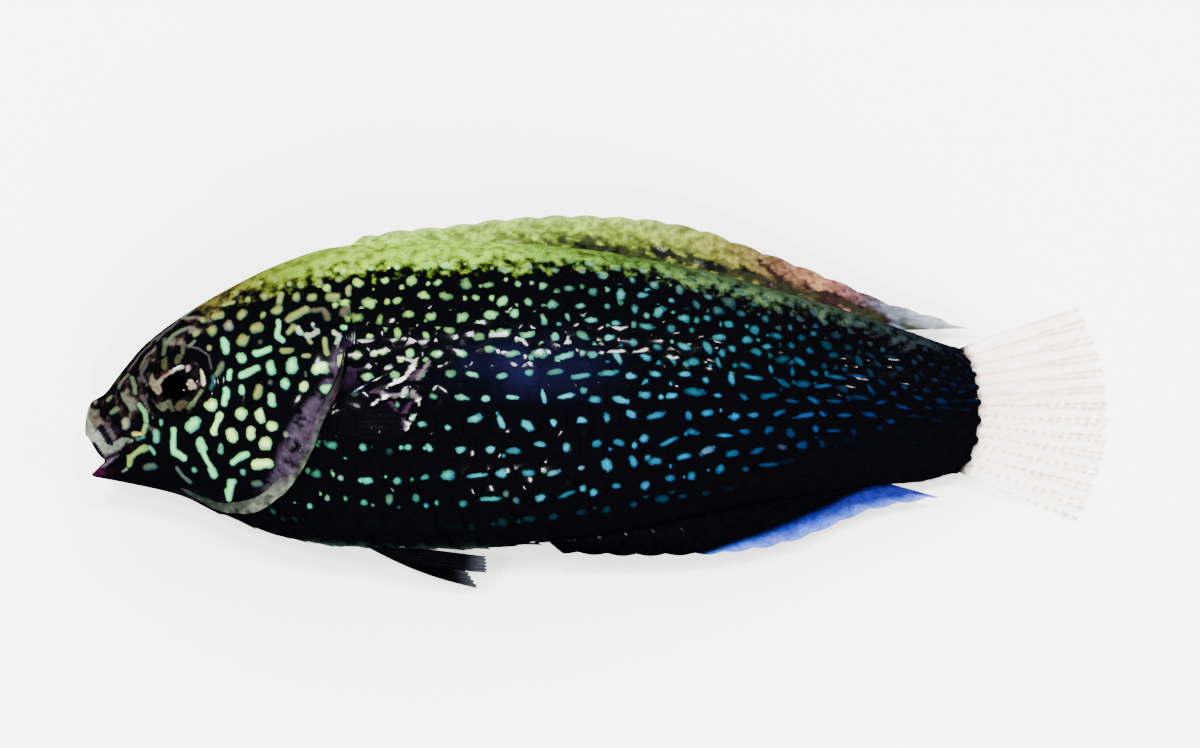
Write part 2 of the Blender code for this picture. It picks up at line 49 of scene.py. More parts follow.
# %% [markdown]
# # The camera
# The photograph was taken from straight above with a long lens, because the ruler's marks stay evenly
# spaced from end to end. A camera that looks straight down needs no turning: up in the picture is +Y.
# The ruler gives 19.75 pixels to the millimetre, and that fixes how high a 100 mm lens hangs.

# %% Camera over the fish
PHOTO_WIDTH, PHOTO_HEIGHT = 1200, 748
PIXELS_PER_MM = 19.75
# The fish's s counts from this column of the photograph, and its t from this row.
SNOUT_PIXEL, AXIS_PIXEL = 85.0, 410.0
# The fish's s and t at the world's origin.
SHIFT_S, SHIFT_T = 26.206, 0.344
SENSOR, LENS, NEAREST = 36.0, 100.0, 0.01
SHARP_HEIGHT = 4.0

camera_height = SHARP_HEIGHT + PHOTO_WIDTH / PIXELS_PER_MM * LENS / SENSOR
view_s = (PHOTO_WIDTH / 2 - SNOUT_PIXEL) / PIXELS_PER_MM
view_t = (AXIS_PIXEL - PHOTO_HEIGHT / 2) / PIXELS_PER_MM

camera_data = bpy.data.cameras.new("overhead_camera")
camera_data.sensor_width = SENSOR
camera_data.lens = LENS
camera_data.clip_start = NEAREST
camera = bpy.data.objects.new("overhead_camera", camera_data)
camera.location = ((view_s - SHIFT_S) * MM, (view_t - SHIFT_T) * MM, camera_height * MM)
bpy.context.scene.collection.objects.link(camera)
bpy.context.scene.camera = camera
print("camera height in mm:", round(camera_height, 1))


def seen_at(x, y, height):
    """The fish's s and t under a pixel of the photograph, for a mark at this height over the floor."""
    nearer = (camera_height - height) / (camera_height - SHARP_HEIGHT)
    s = view_s + (x - PHOTO_WIDTH / 2) / PIXELS_PER_MM * nearer
    t = view_t + (PHOTO_HEIGHT / 2 - y) / PIXELS_PER_MM * nearer
    return s, t


def photo_line(places, height):
    """A chain of the photograph's places, in the fish's s and t. A single place is written twice."""
    line = [seen_at(*place, height) for place in places]
    return line * 2 if len(line) == 1 else line


# %% [markdown]
# # The body's form
# A fish's body is a row of oval sections strung on a line. Three smooth curves say where each section has
# its back, its belly and its flank, and a fourth says how high its middle lies over the floor.
# These are the same curves as in the solid model, so that the skin lies just inside it.

# %% Curves of the body, in millimetres
BODY_END = 44.6
TAIL_BULGE = 0.75
CORNER_ROUND = 0.45
SNOUT_ROUND = 0.5
SNOUT_MID = -1.3
SIDE_FULL, SIDE_SHARPER, SHARPER_FROM, SHARPER_OVER = 0.86, 0.24, 14, 26
BACK_LINE = (
    (0.5, 0.55), (0.95, 0.82), (1.8, 1.9), (3.0, 3.3), (4.8, 4.7), (7.3, 6.2), (9.9, 7.45), (12.5, 8.25),
    (18.0, 8.7), (24.0, 8.4), (31.1, 7.25), (36.2, 5.9), (41.3, 4.4), (44.6, 3.35),
)
BELLY_LINE = (
    (0.5, -3.42), (2.5, -3.8), (4.8, -4.35), (7.1, -5.45), (10.1, -6.55), (13.4, -7.05),
    (19.0, -7.15), (23.2, -6.85), (26.1, -6.45), (31.1, -5.5), (36.2, -4.55), (40.3, -3.98), (42.8, -3.82),
    (44.6, -3.4),
)
HALF_WIDTH = (
    (0.5, 1.05), (1.5, 1.45), (3.0, 1.95), (5.0, 2.55), (8.0, 3.3), (12.0, 3.8), (16.0, 3.9),
    (22.0, 3.8), (28.0, 3.2), (34.0, 2.35), (40.0, 1.45), (43.0, 0.95), (44.6, 0.45),
)
REST_HEIGHT = ((0.0, 3.85), (10.0, 3.7), (22.0, 3.68), (30.0, 3.3), (38.0, 2.4), (44.6, 1.75))


def smooth_curve(stations):
    """A curve through the stations that never swings past them. It takes and gives numpy arrays."""
    x, y = np.array(stations, float).T
    step = np.diff(x)
    slope = np.diff(y) / step
    tangent = np.zeros(len(x))
    for i in range(1, len(x) - 1):
        if slope[i - 1] * slope[i] > 0:
            before = 2 * step[i] + step[i - 1]
            after = step[i] + 2 * step[i - 1]
            tangent[i] = (before + after) / (before / slope[i - 1] + after / slope[i])
    tangent[0], tangent[-1] = slope[0], slope[-1]

    def value(at):
        at = np.clip(at, x[0], x[-1])
        i = np.clip(np.searchsorted(x, at, side="right") - 1, 0, len(step) - 1)
        f = (at - x[i]) / step[i]
        rise = (1 + 2 * f) * (1 - f) ** 2 * y[i] + f * f * (3 - 2 * f) * y[i + 1]
        return rise + f * (1 - f) * step[i] * ((1 - f) * tangent[i] - f * tangent[i + 1])

    return value


def ease(value):
    """0 below 0, 1 above 1, and a smooth step between."""
    value = np.clip(value, 0.0, 1.0)
    return value * value * (3 - 2 * value)


back_at = smooth_curve(BACK_LINE)
belly_at = smooth_curve(BELLY_LINE)
width_at = smooth_curve(HALF_WIDTH)
rest_height = smooth_curve(REST_HEIGHT)


def section(s):
    """Middle, half depth and half width of the body at s, and how full the snout's round end is there."""
    top, bottom = back_at(s), belly_at(s)
    full = np.sqrt(1 - (1 - np.clip(s / SNOUT_ROUND, 0, 1)) ** 2)
    middle = (top + bottom) / 2 * full + SNOUT_MID * (1 - full)
    return middle, (top - bottom) / 2 * full, width_at(s) * full, full


def roundness(s):
    """The exponent of the section's side: fuller at the head, sharper towards the tail."""
    return SIDE_FULL + SIDE_SHARPER * ease((s - SHARPER_FROM) / SHARPER_OVER)


print("depth at the pectoral fin in mm:", round(float(back_at(15) - belly_at(15)), 2))

# %% [markdown]
# # Lips, orbit and gill cover
# The head's forms stand out of the plain sections: two fleshy lips, a ring round each eye and the plate of
# the gill cover, which ends in a soft flap. Each is a swelling along a line drawn in the side view, so a
# function that measures the distance to a line makes them all.

# %% Swellings of the head
MOUTH_CORNER = (2.5, -1.86)
UPPER_LIP = ((0.1, -0.1), (0.3, -1.2), (0.85, -2.00), MOUTH_CORNER)
LOWER_LIP = ((0.45, -3.25), (1.7, -2.78), MOUTH_CORNER)
LIP_SWELL, LIP_WIDTH = 0.24, 0.42
EYE_CENTRE = (4.95, 1.25)
EYE_RADIUS, EYE_HALF_DEPTH, EYE_PROUD, EYE_REACH = 1.72, 0.95, 0.5, 1.2
ORBIT_SWELL, ORBIT_WIDTH, ORBIT_GAP = 0.16, 0.4, 0.15
GILL_LINE = (
    (13.9, 10.5), (13.8, 7.0), (13.5, 4.6), (13.42, 3.04), (13.2, 1.75), (12.66, 0.6), (12.2, -0.3),
    (11.8, -1.55), (11.1, -2.8), (10.2, -3.9), (9.2, -4.7), (8.05, -5.06), (7.00, -5.1),
    (6.6, -5.6), (6.4, -7.5),
)
FLAP_START, FLAP_END = 3, 12
COVER_SWELL, COVER_TOP, COVER_FRONT, COVER_LONG = 0.3, 4.8, 6.2, 3.6
# The head's swelling fades out over this length in front of the gill opening.
FLAP_EDGE = 0.26
RECESS_HEIGHT, RECESS_CENTRE, RECESS_RADII, RECESS_RAMP = 0.98, (15.3, 0.6), (3.1, 3.0), 0.35


def bend_through(points, steps):
    """Points along a smooth curve through these points."""
    points = np.array(points, float)
    count = len(points)
    made = []
    for i in range(count - 1):
        a, b, c, d = (points[min(max(i + k, 0), count - 1)] for k in (-1, 0, 1, 2))
        for f in np.arange(steps) / steps:
            bend = (2 * a - 5 * b + 4 * c - d) * f * f + (3 * b - a - 3 * c + d) * f ** 3
            made.append(0.5 * (2 * b + (c - a) * f + bend))
    made.append(points[-1])
    return np.array(made)


def line_offset(s, t, line):
    """How far each point lies from the nearest place on a chain of points: along s, and along t."""
    best = np.full(np.shape(s), 1e9)
    off_s, off_t = np.zeros(np.shape(s)), np.zeros(np.shape(s))
    for a, b in zip(line[:-1], line[1:]):
        run = (b[0] - a[0], b[1] - a[1])
        share = ((s - a[0]) * run[0] + (t - a[1]) * run[1]) / max(run[0] ** 2 + run[1] ** 2, 1e-9)
        share = np.clip(share, 0, 1)
        step_s, step_t = s - a[0] - run[0] * share, t - a[1] - run[1] * share
        away = np.hypot(step_s, step_t)
        off_s = np.where(away < best, step_s, off_s)
        off_t = np.where(away < best, step_t, off_t)
        best = np.minimum(best, away)
    return off_s, off_t


def line_distance(s, t, line):
    """The distance from each point to a chain of points, in the side view."""
    return np.hypot(*line_offset(s, t, line))


def bump(distance, width):
    """A soft hill: 1 at distance 0, about a third at its width."""
    return np.exp(-((distance / width) ** 2))


gill_line = bend_through(GILL_LINE, 2)
cover_rear = bend_through(GILL_LINE[FLAP_START:FLAP_END], 2)


def behind_gill(s, t):
    """How far a place lies behind the gill opening's line; less than 0 on the head."""
    order = np.argsort(gill_line[:, 1])
    line_s = np.interp(t, gill_line[order, 1], gill_line[order, 0])
    return np.sign(s - line_s) * line_distance(s, t, gill_line)


def head_swell(s, t):
    """How far the lips, the orbit and the gill cover stand out, in millimetres."""
    from_eye = np.hypot(s - EYE_CENTRE[0], t - EYE_CENTRE[1])
    swell = ORBIT_SWELL * bump(from_eye - EYE_RADIUS - ORBIT_GAP, ORBIT_WIDTH)
    for lip in (UPPER_LIP, LOWER_LIP):
        swell = swell + LIP_SWELL * bump(line_distance(s, t, lip), LIP_WIDTH)
    inside = ease((COVER_TOP - t) / 1.2) * ease((s - COVER_FRONT) / 3.0)
    return swell + COVER_SWELL * inside * ease(1.3 - line_distance(s, t, cover_rear) / COVER_LONG)


def right_floor(s, t):
    """The hollow in the right flank that leaves room for the pectoral fin it lies on."""
    across = np.hypot((s - RECESS_CENTRE[0]) / RECESS_RADII[0], (t - RECESS_CENTRE[1]) / RECESS_RADII[1])
    return RECESS_HEIGHT * ease((1 + RECESS_RAMP - across) / RECESS_RAMP)


def body_point(s, angle, sunk, cover=None):
    """Points of the body's surface, sunk below it. Angle is 0 at the back and grows over the left flank.

    Cover is how much of the head's swelling counts: None lets it end at the gill opening."""
    middle, half, width, full = section(s)
    side = np.sin(angle)
    t = middle + half * np.cos(angle)
    behind = behind_gill(s, t)
    share = ease(-behind / FLAP_EDGE) if cover is None else cover
    sunk = sunk * full
    flank = np.abs(side) ** roundness(s) * (width - sunk) + head_swell(s, t) * share * np.abs(side) * full
    t = middle + (half - sunk) * np.cos(angle)
    z = rest_height(s) + np.sign(side) * flank
    floor = np.maximum(sunk, 0.01) + right_floor(s, t) * ease(behind / 0.3)
    z = np.where(side < 0, np.maximum(z, floor), z)
    bulge = ease((s - 38) / (BODY_END - 38)) * (TAIL_BULGE * side ** 2 - CORNER_ROUND * np.cos(angle) ** 8)
    return np.stack([s + bulge, t, z], axis=-1)


def angle_over(s, t, side):
    """The section's angle at a height t on the left (1) or right (-1) flank."""
    middle, half, _, _ = section(s)
    return side * np.arccos(np.clip((t - middle) / half, -1, 1))


def flank_point(s, t, side, rise, cover=None):
    """The point of a flank at s and t in the side view, raised over the solid's surface."""
    s, t = np.asarray(s, float), np.asarray(t, float)
    return body_point(s, angle_over(s, t, side), -rise, cover)


print("gill flap length in mm:", round(float(np.hypot(*np.diff(cover_rear, axis=0).T).sum()), 1))

# %% [markdown]
# # One helper that makes every piece
# A piece is a list of points and faces. This helper places it in metres, turns its faces outwards by the
# sign of its volume, smooths it and stores what the materials need on its points.

# %% Make a mesh piece


def to_world(points):
    """Fish millimetres to world metres."""
    return (np.asarray(points, float) - (SHIFT_S, SHIFT_T, 0.0)) * MM


def quad_volume(points, quads):
    """Six times the volume inside the quads: less than 0 where they face inwards."""
    a, b, c, d = (points[quads[:, k]] for k in range(4))
    return (np.einsum("ij,ij->i", a, np.cross(b, c)) + np.einsum("ij,ij->i", a, np.cross(c, d))).sum()


def store(mesh, name, kind, values):
    """Keeps one value for each point under a name that a material can read."""
    attribute = mesh.attributes.new(name, kind, "POINT")
    field = {"FLOAT": "value", "FLOAT_VECTOR": "vector", "FLOAT_COLOR": "color"}[kind]
    attribute.data.foreach_set(field, np.ascontiguousarray(values, np.float32).ravel())


def make_piece(name, points, quads, caps=(), corners=None, sharp=50):
    """A smooth mesh object from points in fish millimetres, quads and a few larger faces."""
    points = to_world(points)
    quads = np.asarray(quads)
    caps = [list(cap) for cap in caps]
    if quad_volume(points, quads) < 0:
        quads = quads[:, ::-1]
        caps = [cap[::-1] for cap in caps]
        corners = None if corners is None else corners[:, ::-1]
    mesh = bpy.data.meshes.new(name)
    mesh.from_pydata(points.tolist(), [], quads.tolist() + caps)
    if corners is not None:
        layer = mesh.uv_layers.new(name="OFBake")
        rest = [corners[0, 0]] * sum(len(cap) for cap in caps)
        layer.data.foreach_set("uv", np.array([*corners.reshape(-1, 2), *rest], np.float32).ravel())
    mesh.shade_smooth()
    mesh.set_sharp_from_angle(angle=math.radians(sharp))
    made = bpy.data.objects.new(name, mesh)
    bpy.context.scene.collection.objects.link(made)
    return made


def grid_quads(rows, columns, wrap=False):
    """The quads between the points of a grid, point (i, j) being number i * columns + j."""
    i, j = np.meshgrid(np.arange(rows - 1), np.arange(columns if wrap else columns - 1), indexing="ij")
    i, j = i.ravel(), j.ravel()
    after = (j + 1) % columns
    return np.stack([i * columns + j, i * columns + after, (i + 1) * columns + after, (i + 1) * columns + j], 1)


def grid_rim(rows, columns):
    """The points round the edge of such a grid, in order, from its first point along its first row."""
    total = rows * columns
    rim = [*range(columns), *range(2 * columns - 1, total, columns)]
    return rim + [*range(total - 2, total - columns - 1, -1), *range(total - 2 * columns, 0, -columns)]


def fan(start, count, middle, turned=False):
    """The triangles between a ring of points and the point in its middle."""
    made = [[start + (k + 1) % count, start + k, middle] for k in range(count)]
    return [triangle[::-1] for triangle in made] if turned else made


# The two flanks, and the sign of their side: the left one is up.
FLANKS = (("left", 1), ("right", -1))
print("one fish millimetre in the world:", MM)

# %% [markdown]
# # The face: mouth, eye bed, nostrils and gill slit
# The mouth is a little open, so the profile has a notch between the lips. The skin is pressed in where the
# eye sits, along the line of the mouth, at two nostrils and behind the gill flap. Pressing the skin in by a
# soft measure from a line keeps it one closed sheet, where a Boolean cut would leave a hard seam.

# %% Where the skin is pressed in
GAPE = (
    (-3.42, 0.00), (-3.32, 0.26), (-3.1, 0.5), (-2.8, 0.8), (-2.57, 1.03), (-2.4, 0.86), (-2.15, 0.64),
    (-1.6, 0.31), (-1.15, 0.08), (-0.9, 0.00), (-0.6, 0.00),
)
gape_at = smooth_curve(GAPE)
MUZZLE_ROUND = 0.3
MOUTH_LINE = ((1.05, -2.5), (1.6, -2.27), (2.1, -2.05), MOUTH_CORNER, (2.78, -1.72))
JAW_FOLD = ((2.6, -2.12), (3.05, -2.6), (3.3, -3.3))
LIP_FOLD = ((0.12, 0.62), (0.62, -0.05), (1.08, -0.78), (1.62, -1.28), (2.35, -1.42), (2.85, -1.62))
CHIN_FOLD = ((0.62, -3.38), (1.25, -3.06), (1.9, -2.74), (2.55, -2.32))
CHEEK_FOLD = ((6.6, -4.05), (7.1, -3.2), (7.85, -2.2), (8.35, -0.9), (8.55, 0.6), (8.8, 2.1))
# How deep and how wide each line is pressed in.
FOLDS = (
    (0.26, 0.13, MOUTH_LINE), (0.07, 0.12, JAW_FOLD), (0.11, 0.12, LIP_FOLD), (0.09, 0.12, CHIN_FOLD),
    (0.035, 0.22, CHEEK_FOLD),
)
EYE_OPENING, EYE_BED, EYE_BED_EDGE = 1.42, 0.85, 0.14
# The eyelid's raised ring and the groove round it: depth, radius and width.
LID_RINGS = ((-0.03, 1.62, 0.1), (0.03, 1.98, 0.12))
NOSTRILS, NOSTRIL_DEEP, NOSTRIL_WIDE = ((2.45, 1.45), (2.85, 2.15)), 0.22, 0.13
SLIT_DEEP, SLIT_WIDE, SLIT_BEHIND = 0.16, 0.13, 0.1


def press_in(s, t):
    """How deep the skin is pressed in at a place in the side view, in millimetres."""
    from_eye = np.hypot(s - EYE_CENTRE[0], t - EYE_CENTRE[1])
    deep = EYE_BED * ease((EYE_OPENING - from_eye) / EYE_BED_EDGE + 0.5)
    for depth, radius, width in LID_RINGS:
        deep = deep + depth * bump(from_eye - radius, width)
    for depth, width, line in FOLDS:
        deep = deep + depth * bump(line_distance(s, t, line), width)
    for pit in NOSTRILS:
        deep = deep + NOSTRIL_DEEP * bump(np.hypot(s - pit[0], t - pit[1]), NOSTRIL_WIDE)
    slit = bump(line_distance(s, t, cover_rear) - SLIT_BEHIND, SLIT_WIDE) * (behind_gill(s, t) > 0)
    return deep + SLIT_DEEP * slit


def front_of_face(t, z):
    """The least s that the face reaches: 0, except at the open mouth, and more towards its sides."""
    notch = np.maximum(gape_at(t), 0)
    aside = np.clip((z - REST_HEIGHT[0][1]) / HALF_WIDTH[1][1], -1, 1)
    return notch + MUZZLE_ROUND * aside ** 2 * ease(notch / 0.3)


print("deepest press at the eye in mm:", round(float(press_in(*np.array(EYE_CENTRE))), 2))

# %% [markdown]
# # The skin
# One closed sheet covers head, jaw, gill covers, trunk and tail stalk, so that no seam shows. Its rings are
# close together on the head, where the eye, the lips and the gill flap need them, and wider on the trunk,
# which scales will cover. It lies inside the solids by the depth of the coat of scales.

# %% Loft the skin
COAT = 0.12
HEAD_COAT = 0.02
SIDES = 280
CAP_RINGS = 22
FACE_STEP, TRUNK_STEP = 0.1, 0.2
FACE_END = 14.0
END_ROUND, END_RINGS, END_THINNEST = 0.15, 4, 0.05

cap_s = SNOUT_ROUND * (1 - np.cos(np.linspace(0, math.pi / 2, CAP_RINGS + 1)[1:]))
face_s = np.arange(SNOUT_ROUND + FACE_STEP, FACE_END, FACE_STEP)
trunk_s = np.arange(FACE_END, BODY_END, TRUNK_STEP)
ring_s = np.concatenate([cap_s, face_s, trunk_s, [BODY_END]])

# The first point of a ring is on the belly, so that the unwrap's seam is there.
ring_angle = math.pi + 2 * math.pi * np.arange(SIDES) / SIDES
skin_s, skin_angle = np.meshgrid(ring_s, ring_angle, indexing="ij")
plain = body_point(skin_s, skin_angle, 0.0)
coat = HEAD_COAT + (COAT - HEAD_COAT) * ease(behind_gill(skin_s, plain[..., 1]) / 0.4)
skin = body_point(skin_s, skin_angle, coat)
side = np.sin(skin_angle)
in_slit = skin[..., 0] < front_of_face(skin[..., 1], skin[..., 2])
skin[..., 2] -= np.sign(side) * np.sqrt(np.abs(side)) * press_in(skin[..., 0], skin[..., 1])
skin[..., 0] = np.maximum(skin[..., 0], front_of_face(skin[..., 1], skin[..., 2]))

middle_line = rest_height(np.array([BODY_END]))[0]
rounded = []
for turn in np.linspace(0, math.pi / 2, END_RINGS + 1)[1:]:
    ring = skin[-1].copy()
    ring[:, 2] = middle_line + (ring[:, 2] - middle_line) * max(math.cos(turn), END_THINNEST)
    ring[:, 0] += END_ROUND * math.sin(turn)
    rounded.append(ring)
skin = np.concatenate([skin, np.array(rounded)])
print("skin rings:", len(skin), "points:", skin.size // 3)

# %% [markdown]
# # Unwrapping the skin
# The markings need flat coordinates: s along the body and the way round it from the middle of the back,
# in millimetres. The same two numbers make the OFBake map, with its seam along the belly. A scale will
# find its place by the share of the half girth, so that the rows draw together towards the tail.

# %% Measure round the body
UNWRAP = 50.0
rings = len(skin)
steps = np.linalg.norm(np.roll(skin, -1, axis=1) - skin, axis=-1)
round_body = np.concatenate([np.zeros((rings, 1)), np.cumsum(steps, axis=1)], axis=1)
from_back = round_body - round_body[:, SIDES // 2: SIDES // 2 + 1]
half_girth = np.stack([-from_back[:, 0], from_back[:, -1]], axis=1)
along = np.concatenate([ring_s, BODY_END + END_ROUND * np.arange(1, END_RINGS + 1) / END_RINGS])
skin_u = np.repeat(along[:, None], SIDES + 1, axis=1)

corner_ring, corner_side = np.meshgrid(np.arange(rings - 1), np.arange(SIDES), indexing="ij")
corner_ring, corner_side = corner_ring.ravel(), corner_side.ravel()
corners = []
for ring_step, side_step in ((0, 0), (0, 1), (1, 1), (1, 0)):
    at = (corner_ring + ring_step, corner_side + side_step)
    corners.append(np.stack([(skin_u[at] + 2) / UNWRAP, 0.5 + from_back[at] / UNWRAP], axis=1))
skin_corners = np.stack(corners, axis=1)

tip = np.array([[0.0, SNOUT_MID, rest_height(np.array([0.0]))[0]]])
skin_points = np.concatenate([skin.reshape(-1, 3), tip])
skin_quads = grid_quads(rings, SIDES, wrap=True)
nose = fan(0, SIDES, len(skin_points) - 1)
tail_end = [list(range((rings - 1) * SIDES, rings * SIDES))]
skin_piece = make_piece("skin", skin_points, skin_quads, nose + tail_end, skin_corners, sharp=80)
print("girth at the deepest section in mm:", round(float(round_body[:, -1].max()), 1))

# %% [markdown]
# # Where each scale sits
# Scales stand in rows along the body, each row half a step on from the next, as tiles on a roof.
# The photograph has thirteen rows between back and belly, 1.4 mm apart at mid-body and 1.1 mm at the tail.

# %% Rows and columns of scales
ROWS = 17
ROW_SHARES = ((0, 0.0), (4, 0.195), (9, 0.445), (13, 0.715), (17, 1.0))
COLUMN_SPACING = ((12.0, 1.33), (22.0, 1.3), (30.0, 1.26), (38.0, 1.1), (44.0, 0.86))
COLUMN_START = 25.08
FIRST_COLUMN, LAST_COLUMN = -16, 24

row_curve = smooth_curve(ROW_SHARES)
spacing_at = smooth_curve(COLUMN_SPACING)


def share_of_row(row):
    """Where a row lies round the body: 0 back, 1 belly, less than 0 on the right flank."""
    return np.sign(row) * row_curve(np.abs(row))


column_s = {0: COLUMN_START}
for number in range(0, LAST_COLUMN):
    column_s[number + 1] = column_s[number] + float(spacing_at(column_s[number]))
for number in range(0, FIRST_COLUMN, -1):
    column_s[number - 1] = column_s[number] - float(spacing_at(column_s[number]))
column_numbers = np.array(sorted(column_s))
column_places = np.array([column_s[number] for number in column_numbers])
print("first and last column in mm:", column_places[[0, -1]].round(1))

# %% [markdown]
# # From a row to an angle
# A row keeps its share of the way round the body, but the body's formula wants an angle. So the way round
# is measured once on every second ring, for each flank, and that table is read backwards for the scales.

# %% Measure each flank
TABLE_START = 5.0
SHARES = 180

trunk_ring_s = ring_s[ring_s > TABLE_START][::2]
share_steps = np.linspace(0, 1, SHARES + 1)
half_angles = np.linspace(0, math.pi, SHARES + 1)
angle_table = {}
girth_table = {}
for _, way in FLANKS:
    ss, aa = np.meshgrid(trunk_ring_s, way * half_angles, indexing="ij")
    outline = body_point(ss, aa, COAT, cover=0.0)
    run = np.linalg.norm(np.diff(outline, axis=1), axis=-1)
    run = np.concatenate([np.zeros((len(run), 1)), np.cumsum(run, axis=1)], axis=1)
    girth_table[way] = run[:, -1]
    angle_table[way] = np.array([np.interp(share_steps, row / row[-1], half_angles) for row in run])


def angle_at_share(s, share):
    """The section's angle at a share of the half girth: 0 back, 1 belly, less than 0 on the right flank."""
    share = (share + 1) % 2 - 1
    flank = np.where(share < 0, -1, 1)
    place = np.clip(np.interp(s, trunk_ring_s, np.arange(len(trunk_ring_s))), 0, len(trunk_ring_s) - 1.001)
    i = place.astype(int)
    j = np.clip((np.abs(share) * SHARES).astype(int), 0, SHARES - 1)
    fi, fj = place - i, np.abs(share) * SHARES - j
    angle = np.zeros(np.shape(share))
    for _, way in FLANKS:
        table = angle_table[way]
        near = table[i, j] * (1 - fj) + table[i, j + 1] * fj
        far = table[i + 1, j] * (1 - fj) + table[i + 1, j + 1] * fj
        angle = np.where(flank == way, way * (near * (1 - fi) + far * fi), angle)
    return angle


def half_girth_at(s):
    """The way from the middle of the back to the middle of the belly, over the left flank."""
    return np.interp(s, trunk_ring_s, girth_table[1])


print("half girth at mid-body in mm:", round(float(half_girth_at(22.0)), 1))

# %% [markdown]
# # Which places bear a scale
# The head is naked, and so are the roots of the fins. Behind the head the scales begin along the gill
# opening, and above it along a line that leans back over the nape.

# %% Choose the scales
NAPE_T, NAPE_START, NAPE_LEAN = 4.6, 13.9, 0.9
BEHIND_GILL, BEFORE_TAIL = 0.35, 0.1
BARE_BACK, BARE_BELLY = ((12.3, 41.6),), ((22.6, 40.8), (13.2, 15.6))


def bears_scale(s, t, row):
    """Whether a scale stands here: behind the head, before the tail fin and clear of the fins' roots."""
    bare = {0: BARE_BACK, ROWS: BARE_BELLY}.get(row, ())
    if s > BODY_END - BEFORE_TAIL or any(start < s < end for start, end in bare):
        return False
    if t > NAPE_T:
        return s >= NAPE_START - (t - NAPE_T) * NAPE_LEAN
    return float(behind_gill(np.array([s]), np.array([t]))[0]) >= BEHIND_GILL


scale_column, scale_row = [], []
for row in range(1 - ROWS, ROWS + 1):
    offset = 0.5 if row % 2 == 0 else 0.0
    for number in range(FIRST_COLUMN, LAST_COLUMN):
        column = number + offset
        s = float(np.interp(column, column_numbers, column_places))
        angle = angle_at_share(np.array([s]), share_of_row(np.array([row])))
        t = float(body_point(np.array([s]), angle, COAT, 0.0)[0, 1])
        if bears_scale(s, t, row):
            scale_column.append(column)
            scale_row.append(row)
scale_column, scale_row = np.array(scale_column), np.array(scale_row)
scale_s = np.interp(scale_column, column_numbers, column_places)
scale_share = share_of_row(scale_row)
scale_t = body_point(scale_s, angle_at_share(scale_s, scale_share), COAT, 0.0)[:, 1]
print("scales:", len(scale_s))

# %% [markdown]
# # The colours of the fish
# The skin is near black. Pale spots sit on it, cream-green on the head, turquoise on the flank and blue
# towards the tail, and an olive band runs along the back. Colours are written as they look on a screen, in
# hex, and one function turns them to the linear values that Blender mixes.

# %% Colours


def linear(code):
    """Linear red, green, blue from a hex colour as it looks on a screen."""
    channel = np.array([int(code[k:k + 2], 16) for k in (1, 3, 5)]) / 255
    return np.where(channel <= 0.04045, channel / 12.92, ((channel + 0.055) / 1.055) ** 2.4)


def all_over(code, like):
    """One colour for every place of an array."""
    return np.tile(linear(code), (*np.shape(like), 1))


def colour_run(stations):
    """Colours that change smoothly along a line: (place, hex colour) pairs."""
    places = np.array([place for place, _ in stations])
    colours = np.array([linear(code) for _, code in stations])
    return lambda at: np.stack([np.interp(at, places, colours[:, k]) for k in range(3)], axis=-1)


def lay_over(colour, layer, share):
    """A colour laid over another where share is 1."""
    share = np.clip(share, 0, 1)[..., None]
    return colour * (1 - share) + layer * share


print("linear mid grey:", linear("#808080").round(3))

# %% [markdown]
# # Uneven pigment
# No patch of skin has one even colour. The unevenness comes from chance values on a grid, with a smooth
# step between them. Three turned grids are added.

# %% Soft noise over a plane
# Each grid's turn in radians, how much finer it is, and its weight.
NOISE_TURNS = ((0.4, 1.0, 0.45), (1.5, 1.33, 0.33), (2.7, 2.1, 0.22))
NOISE_CELLS, NOISE_CONTRAST = 64, 1.5


def value_noise(x, y, seed):
    """Soft random values from 0 to 1 over a plane, about one unit from swell to swell."""
    table = np.random.default_rng(seed).random((NOISE_CELLS, NOISE_CELLS))
    total = 0.0
    for turn, finer, weight in NOISE_TURNS:
        a = (x * math.cos(turn) + y * math.sin(turn)) * finer
        b = (y * math.cos(turn) - x * math.sin(turn)) * finer
        i, j = np.floor(a).astype(int), np.floor(b).astype(int)
        fx, fy = ease(a - i), ease(b - j)
        i, j, after_i, after_j = (number % NOISE_CELLS for number in (i, j, i + 1, j + 1))
        near = table[i, j] * (1 - fx) + table[after_i, j] * fx
        far = table[i, after_j] * (1 - fx) + table[after_i, after_j] * fx
        total = total + weight * (near * (1 - fy) + far * fy)
    return np.clip(0.5 + (total - 0.5) * NOISE_CONTRAST, 0, 1)


print("noise at four places:", value_noise(np.arange(4.0), np.zeros(4), 1).round(2))
